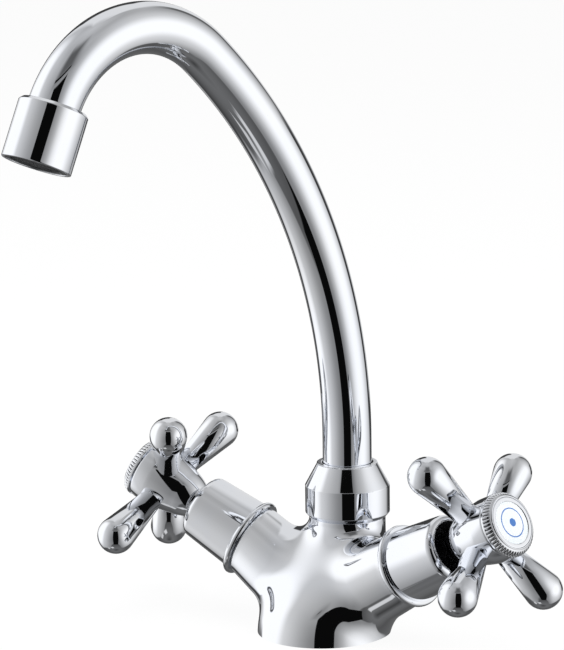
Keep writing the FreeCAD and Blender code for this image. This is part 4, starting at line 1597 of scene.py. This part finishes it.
def is_cup_inside(middles):
    heights, radii = heights_and_radii(middles, outlet)
    in_bore = radii < CUP_R - CUP_WALL + BORE_MARGIN
    return in_bore & (heights > low + PLATED_TOP) & (heights < high - PLATED_LIP)


repaint(cup, BRASS["neck"], is_cup_inside)

# %% [markdown]
# ## Handles
# Each handle is a cast barrel with four club-shaped arms pushed into it. The barrel starts
# narrow inside the sleeve, flares, swells to a belly and ends under the bezel. Its outline
# is three gently bulged runs, because straight cones would show as flat bands in chrome.

# %% Hubs
HUB_NECK_R = 6.4
HUB_NECK_H = 5.8
HUB_WAIST = (9.2, 12.3)
HUB_BELLY = (11.8, 23.8)
HUB_END_R = 11.5
HUB_END_EDGE = 0.5
HUB_CORE_R = 4.1
HUB_POCKET_R = 7.9
HUB_POCKET_AT = 20.9
FLARE_BULGE = 0.3
TAIL_BULGE = 0.12
RUN_STEPS = 10


def bulged_run(start, end, out, steps=RUN_STEPS):
    """Outline points after the start, on a shallow curve that swells outwards."""
    start = np.array(start, float)
    end = np.array(end, float)
    run = end - start
    sideways = np.array((run[1], -run[0])) / np.linalg.norm(run)
    shares = np.arange(1, steps + 1) / steps
    spots = [start + run * t + sideways * out * 4 * t * (1 - t) for t in shares]
    return [(spot[0], spot[1], 0) for spot in spots]


def hub_outline(low, high):
    neck = (HUB_NECK_R, low + HUB_NECK_H)
    waist = (HUB_WAIST[0], low + HUB_WAIST[1])
    belly = (HUB_BELLY[0], low + HUB_BELLY[1])
    end = (HUB_END_R, high - HUB_END_EDGE)
    outline = [(HUB_CORE_R, low, DEBURRED), (HUB_NECK_R, low, 0.3), (*neck, 0)]
    outline += bulged_run(neck, waist, FLARE_BULGE)
    outline += bulged_run(waist, belly, FLARE_BULGE)
    outline += bulged_run(belly, end, TAIL_BULGE)
    outline += [
        (HUB_END_R - HUB_END_EDGE, high, DEBURRED),
        (HUB_POCKET_R, high, DEBURRED),
        (HUB_POCKET_R, low + HUB_POCKET_AT, DEBURRED),
        (HUB_CORE_R, low + HUB_POCKET_AT, DEBURRED),
    ]
    return outline


for side, matrix in VALVES.items():
    points, faces = turned(hub_outline(*reach_along(side + "_handle_hub", matrix)))
    piece(side + "_hub", moved(points, matrix), faces, side + "_handle",
          CAST_CHROME, side + "_handle_hub")

# %% [markdown]
# An arm is a cone that widens to a round end, so its outline is a straight run and an arc
# that meets it without a kink. The root runs into the barrel, so that no gap shows there.
# Four arms make one piece.

# %% Arms
ARM_COUNT = 4
ARM_TURN = {"hot": 54.5, "cold": 36.4}
ARM_PLANE = 80.3
ARM_INNER_END = 9.4
ARM_ROOT_AT = 12.4
ARM_ROOT_R = 4.5
ARM_TIP_AT = 30.8
ARM_TIP_R = 7.0
ARM_TIP_STEPS = 20
ARM_SIDES = 80


def arm_outline():
    slope = (ARM_TIP_R - ARM_ROOT_R) / (ARM_TIP_AT - ARM_ROOT_AT)
    lean = math.asin(slope)
    cone_end = ARM_TIP_AT - ARM_TIP_R * math.sin(lean)
    cone_end_r = ARM_TIP_R * math.cos(lean)
    inner_r = cone_end_r - (cone_end - ARM_INNER_END) * math.tan(lean)
    outline = [(0, ARM_INNER_END, 0), (inner_r, ARM_INNER_END, 0)]
    for step in range(ARM_TIP_STEPS):
        angle = -lean + (math.pi / 2 + lean) * step / ARM_TIP_STEPS
        out = ARM_TIP_R * math.cos(angle)
        outline.append((out, ARM_TIP_AT + ARM_TIP_R * math.sin(angle), 0))
    outline.append((0, ARM_TIP_AT + ARM_TIP_R, 0))
    return outline


def arm_places(side, matrix):
    """One matrix for each arm of a handle."""
    plane = Matrix.Translation((0, 0, ARM_PLANE))
    lay_flat = Matrix.Rotation(math.radians(90), 4, "Y")
    for k in range(ARM_COUNT):
        spin = Matrix.Rotation(math.radians(ARM_TURN[side] + 360 / ARM_COUNT * k), 4, "Z")
        yield matrix @ plane @ spin @ lay_flat


arm_points, arm_faces = turned(arm_outline(), closed=False, sides=ARM_SIDES)
for side, matrix in VALVES.items():
    arms = [(moved(arm_points, place), arm_faces) for place in arm_places(side, matrix)]
    points, faces = joined(arms)
    piece(side + "_arms", points, faces, side + "_handle", CAST_CHROME,
          side + "_handle_arms")

# %% [markdown]
# ## Bezels and index discs
# The bezel holds the index disc and has a beaded flank: a row of long beads like the milled
# edge of a coin. Bump alone would give them no outline, so they are real. The flank has
# eight points to each bead, and each point is drawn in by how far it lies from the crest.
# Towards the front the flank stays smooth and makes a plain band. The valley between two
# beads gets the near-black finish: painted shade.

# %% Beads
BEZEL_H = 3.7
BEZEL_RIM_H = 0.75
BEZEL_FRONT_R = 9.95
BEZEL_FRONT_H = 0.25
BEAD_COUNT = 54
POINTS_PER_BEAD = 8
BEAD_DEPTH = 0.5
BEAD_FULLNESS = 6
BEADED_SHARE = 0.87
RIM_MARGIN = 0.02
FRONT_MARGIN = 0.2
SEAT_MARGIN = 0.1


def beaded_band(high):
    """Where the beads start behind a bezel's front, and how tall they are."""
    start = high - BEZEL_H + BEZEL_RIM_H
    return start, (high - BEZEL_FRONT_H - start) * BEADED_SHARE


def from_valley(u, v):
    """0 in the valley between two beads, 1 on a crest."""
    return np.abs(np.sin(np.arctan2(v, u) * BEAD_COUNT / 2))


def with_beads(points, high):
    """Draws the flank of a spun bezel in between its beads."""
    start, height = beaded_band(high)
    u, v, s = points.T
    radii = np.hypot(u, v)
    up_band = np.clip((s - start) / height, 0, 1)
    on_flank = (s > start + RIM_MARGIN) & (s < high - FRONT_MARGIN)
    on_flank &= radii > BEZEL_FRONT_R - SEAT_MARGIN
    fade = 1 - np.abs(2 * up_band - 1) ** BEAD_FULLNESS
    drawn_in = np.where(on_flank, BEAD_DEPTH * (1 - from_valley(u, v)) * fade, 0)
    points[:, :2] *= ((radii - drawn_in) / radii)[:, None]
    return points


print("a bead is %.2f mm wide" % (2 * math.pi * BEZEL_FRONT_R / BEAD_COUNT))

# %% Bezels
BEZEL_BORE_R = 7.0
BEZEL_SKIRT_R = 7.8
BEZEL_REAR_R = 11.8
BEZEL_BULGE = 0.5
BEZEL_FRONT_EDGE = 0.2
BEZEL_SEAT_R = 9.4
BEZEL_SEAT_H = 2.0
FLANK_STEPS = 16
VALLEY_SHARE = 0.38
VALLEY_LOW = 0.2
VALLEY_HIGH = 0.15
VALLEY_R = 9.5


def bezel_outline(low, high):
    rear = high - BEZEL_H
    rim = (BEZEL_REAR_R, rear + BEZEL_RIM_H)
    front = (BEZEL_FRONT_R, high - BEZEL_FRONT_H)
    return [
        (BEZEL_BORE_R, low, DEBURRED),
        (BEZEL_SKIRT_R, low, DEBURRED),
        (BEZEL_SKIRT_R, rear, DEBURRED),
        (BEZEL_REAR_R, rear, 0.15),
        (*rim, 0.08),
        *bulged_run(rim, front, BEZEL_BULGE, FLANK_STEPS),
        (BEZEL_FRONT_R - BEZEL_FRONT_EDGE, high, 0.05),
        (BEZEL_SEAT_R, high, DEBURRED),
        (BEZEL_SEAT_R, high - BEZEL_SEAT_H, DEBURRED),
        (BEZEL_BORE_R, high - BEZEL_SEAT_H, DEBURRED),
    ]


for side, matrix in VALVES.items():
    low, high = reach_along(side + "_index_bezel", matrix)
    points, faces = turned(bezel_outline(low, high), sides=BEAD_COUNT * POINTS_PER_BEAD)
    points = moved(with_beads(points, high), matrix)
    bezel = piece(side + "_bezel", points, faces, side + "_handle",
                  TURNED_CHROME[side], side + "_index_bezel")

    def is_between_beads(middles):
        u, v, s = moved(middles, matrix.inverted()).T
        start, height = beaded_band(high)
        in_band = (s > start + VALLEY_LOW) & (s < start + height - VALLEY_HIGH)
        return in_band & (np.hypot(u, v) > VALLEY_R) & (from_valley(u, v) < VALLEY_SHARE)

    # The valleys between the beads get the near-black finish: painted shade.
    repaint(bezel, PAINTED_SHADE_BLACK, is_between_beads)

# %% [markdown]
# The disc clips into the bezel. It has a plated rim and, inside a small step, a slightly
# domed field of enamel. The dome matters: a flat disc would show one even patch of the room.

# %% Index discs
DISC_R = 9.35
DISC_RIM_EDGE = 0.3
CROWN_OVER_RIM = 0.35
ENAMEL_R = 7.7
ENAMEL_STEP = 0.28
ENAMEL_STEP_W = 0.25
DOME = 0.45
DOME_STEPS = 10

for side, matrix in VALVES.items():
    low, high = reach_along(side + "_index_disc", matrix)
    rim = high - CROWN_OVER_RIM
    outline = [
        (0, low, 0),
        (DISC_R, low, DEBURRED),
        (DISC_R, rim, DISC_RIM_EDGE),
        (ENAMEL_R + ENAMEL_STEP_W, rim, 0.2),
        (ENAMEL_R, rim - ENAMEL_STEP, 0.05),
    ]
    for step in range(1, DOME_STEPS + 1):
        out = 1 - step / DOME_STEPS
        outline.append((ENAMEL_R * out, rim - ENAMEL_STEP + DOME * (1 - out ** 2), 0))
    points, faces = turned(outline, closed=False)
    disc = piece(side + "_disc", moved(points, matrix), faces, side + "_handle",
                 ENAMELS[side], side + "_index_disc")

    def is_rim(middles):
        return heights_and_radii(middles, matrix)[1] > ENAMEL_R

    repaint(disc, TURNED_CHROME[side], is_rim)

# %% [markdown]
# ## Pieces that keep their shape
# The works inside the tap are already right as plain solids. They only need their finishes,
# and a loop over their names gives each its own. The circlip and the valve's neck sit in
# the recess, so the circlip is painted near black and the brass there darker: painted shade.

# %% Finishes for the works
WORKS = {
    "base_seal": RUBBER,
    "spout_o_rings": RUBBER,
    "aerator_washer": RUBBER,
    "lower_glide_ring": GLIDE_PLASTIC,
    "upper_glide_ring": GLIDE_PLASTIC,
    "spout_foot": BRASS["neck"],
    "aerator_housing": INSERT_PLASTIC,
    "aerator_cage": INSERT_PLASTIC,
    "aerator_screen": STEEL,
}
for side in VALVES:
    WORKS.update({
        side + "_headwork_gasket": GLIDE_PLASTIC,
        # This brass is painted darker towards the recess: painted shade.
        side + "_headwork_body": BRASS[side],
        side + "_spindle": BRASS[side],
        side + "_sleeve_o_ring": RUBBER,
        side + "_seat_seal": RUBBER,
        side + "_spindle_o_rings": RUBBER,
        side + "_fixed_disc": CERAMIC,
        side + "_moving_disc": CERAMIC,
        # The circlip is painted near black: painted shade.
        side + "_circlip": STEEL_IN_PAINTED_SHADE,
        side + "_handle_screw": STEEL,
    })

for name, finish in WORKS.items():
    node = frame["nodes"][name]
    node.data.materials.clear()
    node.data.materials.append(finish)
print("finished works:", len(WORKS), "of", len(frame["nodes"]), "nodes")
